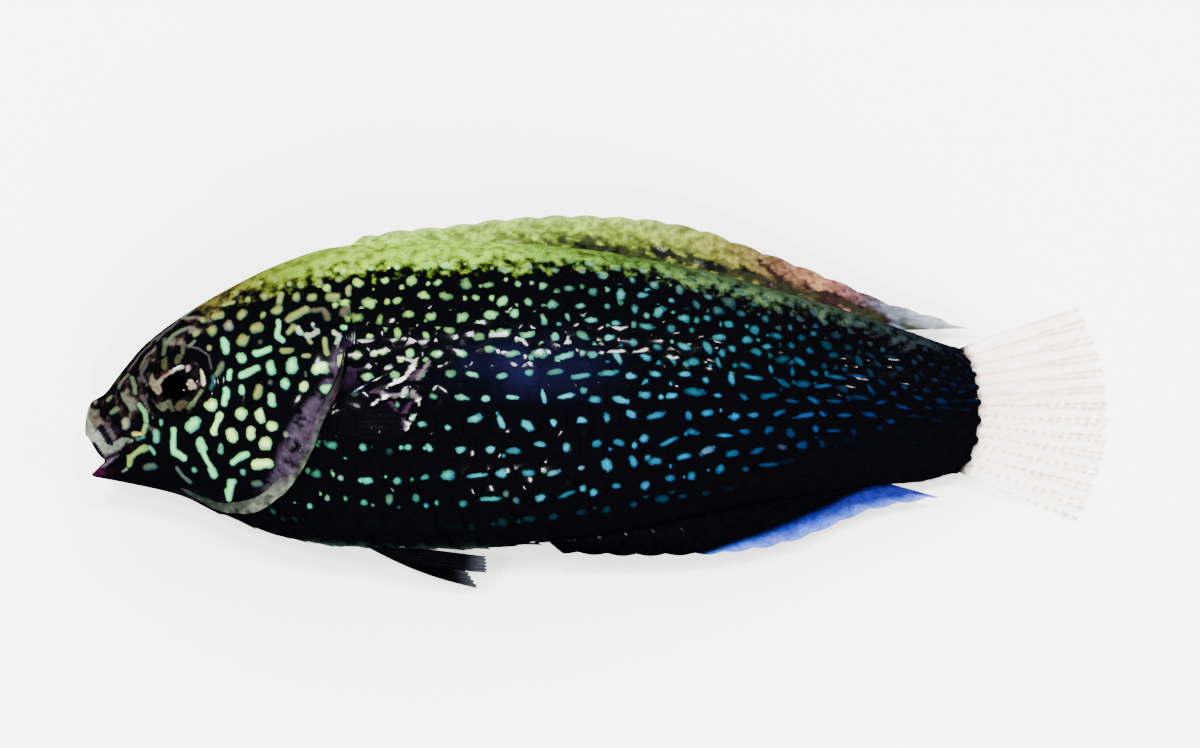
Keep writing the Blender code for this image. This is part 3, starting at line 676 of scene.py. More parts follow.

# %% [markdown]
# # The ground under the spots
# Away from the spots the skin is black, with a faint blue sheen painted on the upper flank round its glints. The
# snout and brow are streaked brown, as rays round the eye, the throat is violet and the keel is mottled grey-green.
# The black ends under the back in a ragged line, and the olive band lies above it.

# %% Colours of the ground and of the back
BLACK = "#020203"
# The blue is a painted sheen on the upper flank, round the glints of the wet scales.
SHEEN_BLUE = "#07071c"
KEEL_GREEN = "#20302a"
FACE_BROWN, FACE_GREY, THROAT_VIOLET = "#150c0c", "#3a3830", "#0f0a18"
SHEEN_PLACE, SHEEN_RADII = (22.5, 2.2), (3.2, 1.2)
BLACK_TOP = (
    (4.0, 3.6), (5.7, 4.3), (6.5, 5.0), (7.8, 5.75), (10.1, 6.2), (13.4, 6.95), (19.5, 7.2), (26.0, 7.35),
    (31.6, 6.15), (34.2, 5.6), (36.2, 5.18), (38.7, 4.48), (40.6, 3.92), (42.4, 3.35), (44.6, 3.1),
)
black_top = smooth_curve(BLACK_TOP)
back_colour = colour_run((
    (4.5, "#2e2816"), (7.0, "#403c16"), (10.0, "#4a5a16"), (15.0, "#60801c"), (20.0, "#5a7a1e"),
    (27.0, "#405a20"), (32.0, "#304428"), (37.0, "#283628"), (41.0, "#161e20"), (44.6, "#080a12"),
))


def back_tint(s, t):
    """The band's colour: darker beside the rear half of the back fin, with painted shade along the ridge where the
    fin folds against it.
    """
    # Painted shade on the ridge under the rear half of the back fin.
    ridge = ease((t - back_at(s) + 0.75) / 0.45) * ease((s - 20) / 8)
    return back_colour(s) * (1 - ridge / 2)[..., None]


def face_weight(s, t):
    """1 on the snout and forehead, where the pattern is streaks, and 0 on the cheek and behind."""
    snout = ease((4.4 - s) / 1.6) * ease((t + 1.6) / 1.0)
    brow = ease((t - back_at(s) + 2.1) / 0.7) * ease((7.4 - s) / 1.4)
    return np.maximum(snout, brow)


def brown_streaks(s, t):
    """Noise drawn out along rays from the eye."""
    from_eye = np.hypot(s - EYE_CENTRE[0], t - EYE_CENTRE[1])
    turn = np.arctan2(t - EYE_CENTRE[1], s - EYE_CENTRE[0])
    return value_noise(from_eye * 3.4, turn * 3.0 + 9, 7) * 0.65 + value_noise(s * 4.5, t * 3.2, 8) * 0.35


def ground_colour(s, t, z):
    """The skin's colour at a place, before spots and the band along the back."""
    # A faint blue sheen is painted on the upper flank, where the wet scales glint.
    from_sheen = np.hypot((s - SHEEN_PLACE[0]) / SHEEN_RADII[0], (t - SHEEN_PLACE[1]) / SHEEN_RADII[1])
    sheen = bump(from_sheen, 1.0) * value_noise(s * 0.9, t * 0.9, 4)
    colour = lay_over(all_over(BLACK, s), linear(SHEEN_BLUE), sheen * 1.4)
    streak = brown_streaks(s, t)
    brown = lay_over(all_over(FACE_BROWN, s), linear(FACE_GREY), ease((streak - 0.62) / 0.12))
    colour = lay_over(colour, brown, face_weight(s, t) * ease((streak - 0.52) / 0.1) * 0.9)
    throat = ease((-3.9 - t) / 0.7) * ease((8.0 - s) / 3.0)
    throat = throat * ease((value_noise(s * 2.2, t * 2.2, 9) - 0.35) / 0.3)
    colour = lay_over(colour, linear(THROAT_VIOLET), throat)
    keel = ease((belly_at(s) + 0.34 - t) / 0.3) * ease((s - 10.0) / 2.0) * ease((21.5 - s) / 2.5)
    keel = keel * ease((value_noise(s * 1.9, z * 1.9 + t, 12) - 0.3) / 0.35)
    return lay_over(colour, linear(KEEL_GREEN), keel)


print("black ends under the back by mm:", round(float(back_at(20.0) - black_top(20.0)), 2))

# %% [markdown]
# # Marks of the head
# The face has round and oval spots on the cheek, short worms by the mouth and thin streaks on the snout.
# A few pale strokes behind the eye are partly spots and partly painted glints of the wet skin.
# They are given as strokes: each is a chain of places on the photograph with a radius, all in its
# pixels, and a colour.

# %% Strokes on the head
CREAM, MINT, TEAL, OLIVE = "#90b05c", "#549a5c", "#34664a", "#545a2c"
BROWN, FAWN, YELLOW, DIM = "#302e20", "#54503a", "#5c6c30", "#28342a"
# Pearl marks behind the eye are pale spots, partly painted glints of the wet skin.
PALE_SPOT_AND_GLINT, REED, UMBER = "#74785e", "#343a28", "#262220"
HEAD_STROKES = (
    # The cheek below and behind the eye.
    (CREAM, 7.6, (211, 405)), (MINT, 7.6, (190, 427), (194, 424)), (CREAM, 4.4, (220, 416), (214, 432)),
    (MINT, 4.2, (226, 390), (225, 404)), (CREAM, 8, (242, 413)), (CREAM, 5.6, (260, 413), (261, 419)),
    (CREAM, 6.2, (231, 434), (233, 438)), (CREAM, 5.2, (251, 430), (251, 436)), (CREAM, 6.2, (273, 426)),
    (CREAM, 7.8, (266, 444)), (CREAM, 6, (257, 464), (269, 463)), (FAWN, 4.2, (288, 435)),
    (MINT, 4.6, (233, 462), (240, 458), (246, 454)), (TEAL, 3.4, (220, 445), (220, 451)),
    (MINT, 6.4, (199, 444), (201, 449)), (MINT, 3, (201, 450), (211, 470)),
    (MINT, 5.6, (210, 471), (212, 474)),
    (MINT, 5.2, (231, 482), (229, 489), (227, 498)), (TEAL, 3.8, (192, 471)), (DIM, 4.4, (253, 484), (259, 484)),
    (TEAL, 3.6, (244, 473)), (MINT, 3.8, (172, 429), (171, 440), (172, 450)),
    (MINT, 4.6, (173, 453), (182, 458)),
    (TEAL, 4.2, (154, 432), (154, 440)), (DIM, 2.6, (174, 468), (180, 476), (187, 483)),
    # The worm in front of the cheek, and the marks of the lower jaw.
    ("#426a3e", 3.4, (137, 405), (142, 413), (144, 421)), ("#50683a", 3.4, (143, 426), (140, 431)),
    ("#686830", 3.4, (138, 434), (131, 434)), ("#1c3c38", 2, (141, 438), (134, 441)),
    (YELLOW, 3.8, (142, 449), (134, 452)), (YELLOW, 3.5, (132, 453), (127, 459), (125, 466)),
    ("#4c4a3c", 2.8, (122, 470), (117, 472)), (TEAL, 2.8, (147, 448), (151, 454)),
    (DIM, 4.6, (143, 468), (150, 467)),
    # The snout.
    (FAWN, 4.8, (121, 422), (122, 427)), (REED, 3.2, (118, 394), (122, 402), (127, 410)),
    (REED, 2.8, (106, 413), (113, 409)), (REED, 3.4, (127, 378), (131, 386), (132, 393)),
    (BROWN, 2.4, (113, 388), (117, 381), (123, 375)), (BROWN, 2.2, (137, 366), (142, 358), (150, 350)),
    (REED, 2.6, (100, 402), (106, 398)), (DIM, 2.2, (151, 417)), (TEAL, 2.4, (160, 421), (160, 425)),
    (UMBER, 2.4, (141, 382), (137, 373), (143, 363)), (REED, 3, (163, 343), (170, 334), (181, 328)),
    (UMBER, 2.4, (152, 341), (160, 331), (172, 321)), (REED, 2.6, (187, 346), (193, 341)),
    (UMBER, 2, (150, 330), (162, 317)), (REED, 2.4, (176, 316), (186, 309)),
    (UMBER, 2.2, (141, 396), (143, 403)),
    # The thin ring round the eye.
    (UMBER, 1.7, (182, 345), (197, 348), (207, 356), (212, 368)),
    ("#262a1c", 3.2, (161, 340), (160, 354)), ("#262a1c", 3, (181, 342), (179, 353)),
    ("#142c2a", 3, (214, 376), (215, 382), (211, 389)), (UMBER, 1.6, (136, 369), (142, 357), (151, 347)),
    (UMBER, 1.6, (124, 369), (132, 357), (146, 341), (158, 334)), (UMBER, 1.5, (131, 400), (129, 408)),
    # Behind and above the eye.
    (MINT, 3.6, (230, 371), (230, 379)), (REED, 3.8, (221, 363), (218, 374)),
    (MINT, 4.8, (243, 375), (256, 368)),
    (MINT, 6.4, (271, 365), (272, 369)), (MINT, 6.8, (293, 364), (294, 368)),
    (CREAM, 6.6, (318, 370), (325, 368)),
    (OLIVE, 3.4, (304, 357), (310, 356)), (MINT, 4.2, (242, 388), (242, 392)),
    (OLIVE, 4.8, (259, 387), (257, 396)),
    (MINT, 6.2, (286, 383)), (CREAM, 6, (306, 387)), (MINT, 5.2, (272, 396), (274, 403)),
    (MINT, 5.8, (326, 388), (330, 388)), (BROWN, 2.8, (271, 382)), (MINT, 5.4, (240, 358), (243, 358)),
    (MINT, 4.6, (257, 353), (269, 350)), (OLIVE, 3.8, (284, 351), (293, 350)),
    (CREAM, 4.8, (343, 358), (343, 364)),
    (MINT, 4.8, (223, 341), (225, 351)), (OLIVE, 4.4, (208, 348)), (OLIVE, 6.6, (240, 340), (244, 340)),
    (MINT, 3.8, (278, 323), (277, 337), (284, 341)), (BROWN, 3, (260, 341)),
    (OLIVE, 3.8, (325, 339), (328, 353)),
    (OLIVE, 6.4, (210, 330)), (FAWN, 6.2, (227, 326)), (OLIVE, 6, (255, 328), (259, 327)),
    # The pale pearl strokes here are partly spots and partly painted glints of the wet skin.
    (PALE_SPOT_AND_GLINT, 3.4, (298, 328), (300, 333)), (OLIVE, 3.6, (290, 333), (294, 327)), (PALE_SPOT_AND_GLINT, 3, (314, 325)),
    (PALE_SPOT_AND_GLINT, 3.3, (306, 336), (313, 334), (318, 331)), (OLIVE, 2.6, (309, 340), (312, 343)),
    (PALE_SPOT_AND_GLINT, 3.1, (335, 333), (341, 336)), (PALE_SPOT_AND_GLINT, 2.6, (337, 343), (340, 340)),
    (MINT, 3.8, (344, 327), (350, 327)),
    (BROWN, 2.4, (342, 350)), (BROWN, 2.8, (307, 375)), (OLIVE, 3.8, (348, 288), (348, 292)),
    (OLIVE, 6.4, (241, 314)), (OLIVE, 4.2, (263, 315)), (OLIVE, 5.4, (275, 311), (278, 309)),
    (OLIVE, 5, (213, 316), (219, 315)), (OLIVE, 4.8, (289, 319), (298, 313), (307, 309)),
    (BROWN, 3.6, (314, 309), (324, 310), (328, 320)), (BROWN, 6.2, (344, 312), (349, 308)),
    (OLIVE, 5.4, (296, 297)), (OLIVE, 4.6, (310, 297), (314, 296)), (OLIVE, 5.4, (330, 297), (336, 296)),
    (OLIVE, 3.8, (279, 294), (279, 300)), (OLIVE, 5, (262, 297)), (OLIVE, 4.6, (319, 283)),
    (OLIVE, 4.4, (300, 284)), (OLIVE, 3.8, (287, 283)), (OLIVE, 4.2, (338, 279)),
    (OLIVE, 3, (221, 304), (231, 302)),
    (OLIVE, 4, (246, 299)), (OLIVE, 4.6, (194, 334)),
    (OLIVE, 3.4, (200, 320)), (OLIVE, 3.2, (232, 292)), (OLIVE, 3.4, (257, 283)), (OLIVE, 3.6, (272, 279)),
)
CHEEK_HEIGHT = 6.9
STROKE_WEIGHT = 0.84
STROKE_WOBBLE = 0.16
# What the two sides of a mark do to its red, green and blue.
WARM_SIDE, COOL_SIDE = np.array((1.4, 1.06, 0.8)), np.array((0.5, 0.88, 1.45))
NO_MARK = 9.0


def two_toned(colour, lean):
    """A mark's colour: warmer towards the forehead, cooler towards belly and tail. Lean runs from -1 to 1."""
    share = (np.clip(lean, -1, 1)[..., None] + 1) / 2
    return colour * (WARM_SIDE * (1 - share) + COOL_SIDE * share)


def head_marks(s, t):
    """For points of the head: how far outside the nearest stroke they are, 1 at its rim, and its colour."""
    shift_s, shift_t = (STROKE_WOBBLE * (value_noise(s * 1.7, t * 1.7, seed) - 0.5) for seed in (41, 42))
    s, t = s + shift_s, t + shift_t
    mark = np.full(np.shape(s), NO_MARK)
    tint = np.zeros((*np.shape(s), 3))
    for code, radius, *places in HEAD_STROKES:
        off_s, off_t = line_offset(s, t, photo_line(places, CHEEK_HEIGHT))
        wide = radius * STROKE_WEIGHT / PIXELS_PER_MM
        away = np.hypot(off_s, off_t) / wide
        toned = two_toned(linear(code), (off_s - off_t) / wide * 0.8 - 0.1)
        tint = np.where((away < mark)[..., None], toned, tint)
        mark = np.minimum(mark, away)
    return mark, tint


print("strokes on the head:", len(HEAD_STROKES))

# %% [markdown]
# # Spots of the trunk
# Behind the gills each scale carries one pale spot, drawn out along the row on the flank, and many have a
# small dot beside it. Here and there a spot is a long bar or stands upright, and under the pectoral fin they
# are smaller and less regular. A seeded draw varies them, so they are the same at every run.

# %% Size, turn and place of each spot
# How large the spots are along the body: s, and a share of the full size.
SIZE_RUN = ((13, 20, 36, 44), (1.0, 1.0, 0.86, 0.55))
SPOT_LONG, FLANK_LONGER, SPOT_TALL, FLANK_FLATTER = 0.25, 0.15, 0.225, 0.055
BAR_SHARE, BAR_LONG, BAR_TALL, BAR_FROM = 0.16, 0.58, 0.13, 17.5
UPRIGHT_SHARE, UPRIGHT_TURN, TURN_SPREAD = 0.14, 70, 13
ASIDE_S, ASIDE_T = 0.1, 0.09
DOT_SHARE, DOT_SHARE_ABOVE = 0.25, 0.5

draw = np.random.default_rng(11)
count = len(scale_s)
middle_t, half_depth, _, _ = section(scale_s)
height_share = (scale_t - middle_t) / half_depth
on_flank = 1 - np.abs(np.clip(height_share * 1.5, -1, 1))
size = np.interp(scale_s, *SIZE_RUN) * draw.uniform(0.82, 1.16, count)
spot_long = SPOT_LONG + FLANK_LONGER * on_flank * ease((scale_s - 17) / 6)
spot_long = spot_long * size * draw.uniform(0.62, 1.38, count)
spot_tall = (SPOT_TALL - FLANK_FLATTER * on_flank) * size * draw.uniform(0.72, 1.16, count)
bar = (draw.random(count) < BAR_SHARE) & (scale_s > BAR_FROM) & (height_share < 0.25)
spot_long = np.where(bar, BAR_LONG * size, spot_long)
spot_tall = np.where(bar, BAR_TALL * size, spot_tall)
spot_turn = np.radians(draw.normal(0, TURN_SPREAD, count))
spot_at = np.stack([draw.normal(0, ASIDE_S, count), draw.normal(0, ASIDE_T, count)], axis=1)
upright = (draw.random(count) < UPRIGHT_SHARE) & ~bar
spot_turn = np.where(upright, spot_turn + math.radians(UPRIGHT_TURN), spot_turn)
dot_at = np.stack([draw.uniform(-0.62, -0.42, count), draw.uniform(-0.42, 0.42, count)], axis=1)
dot_size = draw.uniform(0.09, 0.18, count)
dot_size = dot_size * (draw.random(count) < DOT_SHARE + DOT_SHARE_ABOVE * (height_share > 0.15))
under_fin = ease((1.0 - scale_t) / 1.0) * ease((19.5 - scale_s) / 2.5)
odd = 1 + under_fin * draw.uniform(-0.55, 0.25, count)
spot_long, spot_tall = spot_long * odd, spot_tall * odd
spot_at = spot_at * (1 + 1.2 * under_fin)[:, None]
dot_size = np.where(under_fin > 0.5, np.maximum(dot_size, draw.uniform(0.08, 0.17, count)), dot_size)
print("scales with a dot:", int((dot_size > 0).sum()), "with a bar:", int(bar.sum()))

# %% [markdown]
# # Colours of the spots
# The spots run from yellow-green behind the gills to blue at the tail, greener above and bluer below. They
# dim towards the belly and the tail, grow dull under the olive band, and none show in the dark patch that
# the pectoral fin covers. A few are brownish.

# %% Colour and brightness of each spot
flank_high = colour_run((
    (12.0, "#7c8c3c"), (17.0, "#70903f"), (22.0, "#568a54"), (27.0, "#3c8070"), (32.0, "#1f6c6c"),
    (36.0, "#124c58"), (40.0, "#0b324a"), (44.0, "#06143a"),
))
flank_low = colour_run((
    (12.0, "#2f8a62"), (17.0, "#2f8a6c"), (22.0, "#287f80"), (27.0, "#1f7890"), (32.0, "#12688c"),
    (36.0, "#0a467c"), (40.0, "#052a64"), (44.0, "#030c50"),
))
dull_colour = colour_run(((18, "#66703e"), (30, "#3e4c3c"), (44, "#182428")))
BROWNISH, BROWNISH_SHARE = "#6a5c44", 0.07
# The lowest spots along the body.
SPOT_LOW = (
    (12.0, -5.3), (20.0, -5.5), (28.0, -4.7), (32.5, -3.8), (35.0, -2.8), (38.7, -1.5), (41.0, -0.9),
    (44.6, -0.4),
)
spot_low = smooth_curve(SPOT_LOW)
FADE_RUN = ((17, 22, 28, 33, 37, 41, 44.6), (1.0, 0.8, 0.62, 0.46, 0.34, 0.24, 0.12))
DARK_PATCH, DARK_RADII = (15.0, -0.6), (2.1, 1.5)

blend = ease((height_share + 0.35) / 0.8)[:, None]
spot_colour = flank_high(scale_s) * blend + flank_low(scale_s) * (1 - blend)
bright = draw.uniform(0.35, 1.15, count) * ease((scale_t - spot_low(scale_s)) / 1.1 + 0.25)
patch = np.hypot((scale_s - DARK_PATCH[0]) / DARK_RADII[0], (scale_t - DARK_PATCH[1]) / DARK_RADII[1])
bright = bright * ease((patch - 0.85) / 0.3) * np.interp(scale_s, *FADE_RUN)
bright = bright * np.interp(height_share, (-0.7, 0.0), (0.62, 1.0))
brownish = (draw.random(count) < BROWNISH_SHARE) & (scale_s < 36)
spot_colour = lay_over(spot_colour, linear(BROWNISH), brownish * 0.4)
dull = ease((1.7 - black_top(scale_s) + scale_t) / 1.3) * ease((scale_s - 18) / 4)
spot_colour = lay_over(spot_colour, dull_colour(scale_s), dull * 0.75)
in_band = ease((scale_t - black_top(scale_s) + 0.1) / 0.5)
spot_colour = lay_over(spot_colour, back_colour(scale_s) * 1.35, in_band)
spot_colour = linear(BLACK) + (spot_colour - linear(BLACK)) * bright[:, None]
print("brownish spots:", int(brownish.sum()), "brightest:", round(float(bright.max()), 2))

# %% [markdown]
# # Measuring the spots
# A material can't hold a thousand spots, but it can read a measure from the mesh: how far a place is from
# its spot, in the spot's own radii. Scales and the skin between them carry the same marks.

# %% Distances to spots and dots
LEAST_ROW = 0.045
DOT_LIMIT = 50

column_mm = spacing_at(scale_s)
row_depth = row_curve(np.minimum(np.abs(scale_row) + 0.5, ROWS)) - row_curve(np.abs(scale_row) - 0.5)
row_mm = half_girth_at(scale_s) * np.clip(row_depth, LEAST_ROW, 1)


def spot_offset(number, dx, dy):
    """Places on a scale, in mm from its middle, as multiples of its spot's and its dot's radii."""
    px, py = dx - spot_at[number, 0], dy - spot_at[number, 1]
    cosine, sine = np.cos(spot_turn[number]), np.sin(spot_turn[number])
    level = np.zeros(np.shape(px))
    spot = np.stack([(px * cosine + py * sine) / spot_long[number],
            (py * cosine - px * sine) / spot_tall[number], level], axis=-1)
    radius = np.maximum(dot_size[number], 0.001)
    dot = np.stack([(dx - dot_at[number, 0]) / radius, (dy - dot_at[number, 1]) / radius, level], axis=-1)
    return spot, np.clip(dot, -DOT_LIMIT, DOT_LIMIT)


def spot_tint(number, spot):
    """A spot's colour on the side of it where a place lies."""
    return two_toned(spot_colour[number], (spot[:, 0] + spot[:, 1]) * 0.5)


def trunk_marks(s, share):
    """The same spots and dots, measured at points of the skin."""
    mark = np.full(np.shape(s), NO_MARK)
    tint = np.zeros((*np.shape(s), 3))
    column = np.interp(s, column_places, column_numbers)
    row = np.sign(share) * np.interp(np.abs(share), row_curve(np.arange(ROWS + 1)), np.arange(ROWS + 1))
    for number in range(count):
        away_row = (row - scale_row[number] + ROWS) % (2 * ROWS) - ROWS
        near = (np.abs(column - scale_column[number]) < 0.9) & (np.abs(away_row) < 0.9)
        if not near.any():
            continue
        dx = (column[near] - scale_column[number]) * column_mm[number]
        dy = away_row[near] * row_mm[number]
        spot, dot = spot_offset(number, dx, dy)
        away = np.minimum(np.linalg.norm(spot, axis=-1), np.linalg.norm(dot, axis=-1))
        closer = away < mark[near]
        tint[near] = np.where(closer[:, None], spot_tint(number, spot), tint[near])
        mark[near] = np.minimum(mark[near], away)
    return mark, tint


print("height of a scale's row in mm:", row_mm.min().round(2), "to", row_mm.max().round(2))

# %% [markdown]
# # Painting the face
# The lips are pale and mottled, the jaw's tip is wine red and a purple band runs before the gill opening.
# The mouth's corner and line, the gap of the open mouth and the nostrils are painted dark as shade.

# %% Colours of lips, jaw and gill band
# The last of these colours is painted shade, for the open mouth, its line and corner, and the nostrils.
LIP_PALE, LIP_LOWER, JAW_TIP, MOUTH_SHADE = "#4e534a", "#3c3440", "#240418", "#050203"
LIP_STROKES = (
    (LIP_PALE, 7, (84, 411), (87, 424), (92, 436)), ("#343028", 6, (93, 415), (98, 423), (101, 427)),
    ("#2e2a2a", 3.4, (106, 424), (111, 431), (115, 438)), (LIP_PALE, 5.2, (98, 436), (103, 444), (107, 451)),
    (LIP_PALE, 5.2, (107, 452), (117, 446)), ("#474c44", 4, (117, 446), (125, 441)),
    ("#3c423a", 2.4, (125, 441), (132, 440)), (LIP_LOWER, 3.8, (99, 467), (108, 460)),
    ("#38323e", 3.2, (108, 460), (117, 454)), ("#050308", 3.6, (102, 428), (106, 434)),
    ("#08050a", 3.2, (108, 437), (113, 442)), ("#0e0612", 3, (118, 432)),
    # This black stroke is painted shade in the gap of the open mouth.
    ("#060305", 2.6, (96, 445), (102, 455)),
    (JAW_TIP, 4.2, (93, 474), (102, 471)), ("#0a0408", 3, (106, 473), (112, 470)),
)
LIP_HEIGHT = 4.8
GILL_PURPLE, GILL_SHADE = "#180c1e", "#2a222e"
LILAC_PLACE, LILAC_RADII = (13.75, 2.35), (0.75, 1.0)


def paint_mouth(s, t, z, colour):
    """The lips and the jaw, stroke by stroke, and painted shade in the mouth's corner and line and in the nostrils.
    """
    fleck = value_noise(s * 4.4 + z * 2.3, t * 3.8 - z * 2.9, 6)
    lip_shade = 0.35 + value_noise(s * 5.0 + z * 3.1, t * 5.0 + z * 2.2, 16)
    lip_shade = lip_shade * (0.35 + 0.65 * ease(np.abs(z - REST_HEIGHT[0][1]) / 0.9))
    for code, radius, *places in LIP_STROKES:
        away = line_distance(s, t, photo_line(places, LIP_HEIGHT)) / (radius / PIXELS_PER_MM)
        cover = ease((1.2 - away - 0.7 * (fleck - 0.5)) / 0.45)
        colour = lay_over(colour, linear(code) * lip_shade[..., None], cover)
    # Painted shade in the mouth's corner, along its line and in the nostrils.
    corner = np.hypot(s - MOUTH_CORNER[0] - 0.05, t - MOUTH_CORNER[1])
    colour = lay_over(colour, linear(MOUTH_SHADE), ease(1.5 - corner / 0.17))
    colour = lay_over(colour, linear(MOUTH_SHADE), bump(line_distance(s, t, MOUTH_LINE), 0.09))
    for pit in NOSTRILS:
        colour = lay_over(colour, linear(MOUTH_SHADE), bump(np.hypot(s - pit[0], t - pit[1]), 0.1))
    return colour


def paint_gill_band(s, t, colour):
    """The mottled purple band in front of the gill opening."""
    lilac = np.hypot((s - LILAC_PLACE[0]) / LILAC_RADII[0], (t - LILAC_PLACE[1]) / LILAC_RADII[1])
    colour = lay_over(colour, linear(GILL_PURPLE), ease(1.6 - lilac) * value_noise(s * 3, t * 3, 5))
    inward = -behind_gill(s, t)
    zone = ease((0.75 + 0.75 * bump(t + 1.3, 1.7) - inward) / 0.35) * (inward > -0.2)
    zone = zone * ease((t + 4.3) / 0.8) * ease((3.4 - t) / 0.8)
    mottle = ease((value_noise(s * 3.3, t * 3.3, 14) - 0.22) / 0.2)
    shade = 0.25 + 1.1 * value_noise(s * 5.0, t * 5.0, 15)[..., None]
    return lay_over(colour, linear(GILL_SHADE) * shade, zone * mottle * 0.95)


print("strokes on the lips and jaw:", len(LIP_STROKES))

# %% [markdown]
# # Painting the skin
# The skin keeps five things on its points: its ground colour, the colour of the nearest mark, how far away
# that mark is, how far a point is above the edge of the black, and the colour of the back there. The
# material turns the two distances into crisp, slightly ragged edges, finer than the mesh itself.

# %% Paint the skin
paint_s, paint_t, paint_z = skin[..., 0], skin[..., 1], skin[..., 2]
head_mark, head_tint = head_marks(paint_s, paint_t)
head_mark = np.where(behind_gill(paint_s, paint_t) > 0.1, NO_MARK, head_mark)
skin_share = from_back[:, :-1] / np.where(from_back[:, :-1] < 0, half_girth[:, :1], half_girth[:, 1:])
# The unwrap runs from the belly over the right flank first, so its sign is that of the side.
trunk_mark, trunk_tint = trunk_marks(np.repeat(along[:, None], SIDES, axis=1), skin_share)
mark = np.minimum(head_mark, trunk_mark)
tint = np.where((head_mark < trunk_mark)[..., None], head_tint, trunk_tint)
lips = np.minimum(line_distance(paint_s, paint_t, UPPER_LIP), line_distance(paint_s, paint_t, LOWER_LIP))
mark = np.where((lips < 0.4) & (paint_s < 2.3), NO_MARK, mark)
ground = ground_colour(paint_s, paint_t, paint_z)
ground = paint_gill_band(paint_s, paint_t, paint_mouth(paint_s, paint_t, paint_z, ground))
# Painted shade inside the open mouth, where the skin was pushed back to the notch.
hollow = np.zeros(mark.shape)
hollow[:len(in_slit)] = in_slit
ground = lay_over(ground, linear(MOUTH_SHADE), hollow * (paint_t < -2.45) * (paint_t > -3.0))
band = paint_t - black_top(paint_s) - 3.0 * (1 - ease((paint_s - 4.5) / 2.0))


def opaque(colour):
    return np.concatenate([colour, np.ones((*colour.shape[:-1], 1))], axis=-1)


def with_tip(values):
    """The values of all points, with the snout tip's own added at the end."""
    flat = values.reshape(-1, values.shape[-1]) if values.ndim == 3 else values.reshape(-1)
    return np.concatenate([flat, flat[:1]])


for name, colours in (("ground", ground), ("tint", tint), ("back_tint", back_tint(paint_s, paint_t))):
    store(skin_piece.data, name, "FLOAT_COLOR", with_tip(opaque(colours)))
for name, distances in (("mark", mark), ("band", band)):
    store(skin_piece.data, name, "FLOAT", with_tip(distances))
print("painted points of the skin:", mark.size, "inside a mark:", int((mark < 1).sum()))

# %% [markdown]
# # Helpers for materials
# One small function adds a node with its settings and links. Fish skin is soft tissue under a clear film of
# slime and water, so every finish here is a dielectric with a thin clear coat.

# %% A helper for nodes, and the wet coat
MATH, VECTOR, RANGE, MIX = "ShaderNodeMath", "ShaderNodeVectorMath", "ShaderNodeMapRange", "ShaderNodeMix"
NOISE, BUMP, READ = "ShaderNodeTexNoise", "ShaderNodeBump", "ShaderNodeAttribute"


def add_node(tree, kind, inputs=None, **settings):
    """Adds a node with its settings. An input takes a value or the output of another node."""
    node = tree.nodes.new(kind)
    for name, value in settings.items():
        setattr(node, name, value)
    for socket, value in (inputs or {}).items():
        if isinstance(value, bpy.types.NodeSocket):
            tree.links.new(value, node.inputs[socket])
        else:
            node.inputs[socket].default_value = value
    return node


def new_material(name):
    made = bpy.data.materials.new(name)
    made.use_nodes = True
    return made, made.node_tree, made.node_tree.nodes["Principled BSDF"]


def per_mm(count):
    """A texture's scale, in waves per metre of object space, from waves per millimetre."""
    return count / MM


def wet_coat(shader, flesh_ior, specular, coat, roughness, film_ior):
    """The film of water over the flesh, and how much of a mirror the flesh below it is."""
    settings = {"IOR": flesh_ior, "Specular IOR Level": specular, "Coat Weight": coat,
                "Coat Roughness": roughness, "Coat IOR": film_ior}
    for socket, value in settings.items():
        shader.inputs[socket].default_value = value


FLESH_IOR, FILM_IOR = 1.35, 1.22

# %% [markdown]
# # Wet spotted skin
# The spots are pigment below the surface: they change colour only, with a darker, ragged rim. It is rough
# from noise of about a third of a millimetre, and the surface has a grain of about a tenth.

# %% The spotted finish
FACTOR, FIRST_COLOUR, SECOND_COLOUR, MIXED = 0, 6, 7, 2
# A spot's rim has this share of its colour's red, green and blue.
RIM_SHADE = (0.16, 0.3, 0.36)


def nearest_mark(tree, read, on_scales):
    """How far a place is outside its nearest mark, 1 at the rim."""
    if not on_scales:
        return read["mark"]["Fac"]
    spot = add_node(tree, VECTOR, {0: read["spot"]["Vector"]}, operation="LENGTH")
    dot = add_node(tree, VECTOR, {0: read["dot"]["Vector"]}, operation="LENGTH")
    nearer = add_node(tree, MATH, {0: spot.outputs["Value"], 1: dot.outputs["Value"]}, operation="MINIMUM")
    return nearer.outputs[0]


def banded_ground(tree, read, mottle):
    """The ground with the olive band over it, broken up by the mottling."""
    speckle = add_node(tree, MATH, {0: mottle, 1: 2.6, 2: -1.3}, operation="MULTIPLY_ADD")
    above = add_node(tree, MATH, {0: read["band"]["Fac"], 1: speckle.outputs[0]}, operation="ADD")
    olive = add_node(tree, RANGE, {"Value": above.outputs[0], 1: -0.35, 2: 0.55},
                     interpolation_type="SMOOTHSTEP")
    shade = add_node(tree, RANGE, {"Value": mottle, 1: 0.34, 2: 0.66, 3: 0.35, 4: 1.15})
    back = add_node(tree, VECTOR, {0: read["back_tint"]["Color"], "Scale": shade.outputs[0]},
                    operation="SCALE")
    ground = add_node(tree, MIX, {FACTOR: olive.outputs[0], FIRST_COLOUR: read["ground"]["Color"],
                                  SECOND_COLOUR: back.outputs[0]}, data_type="RGBA")
    return ground.outputs[MIXED]


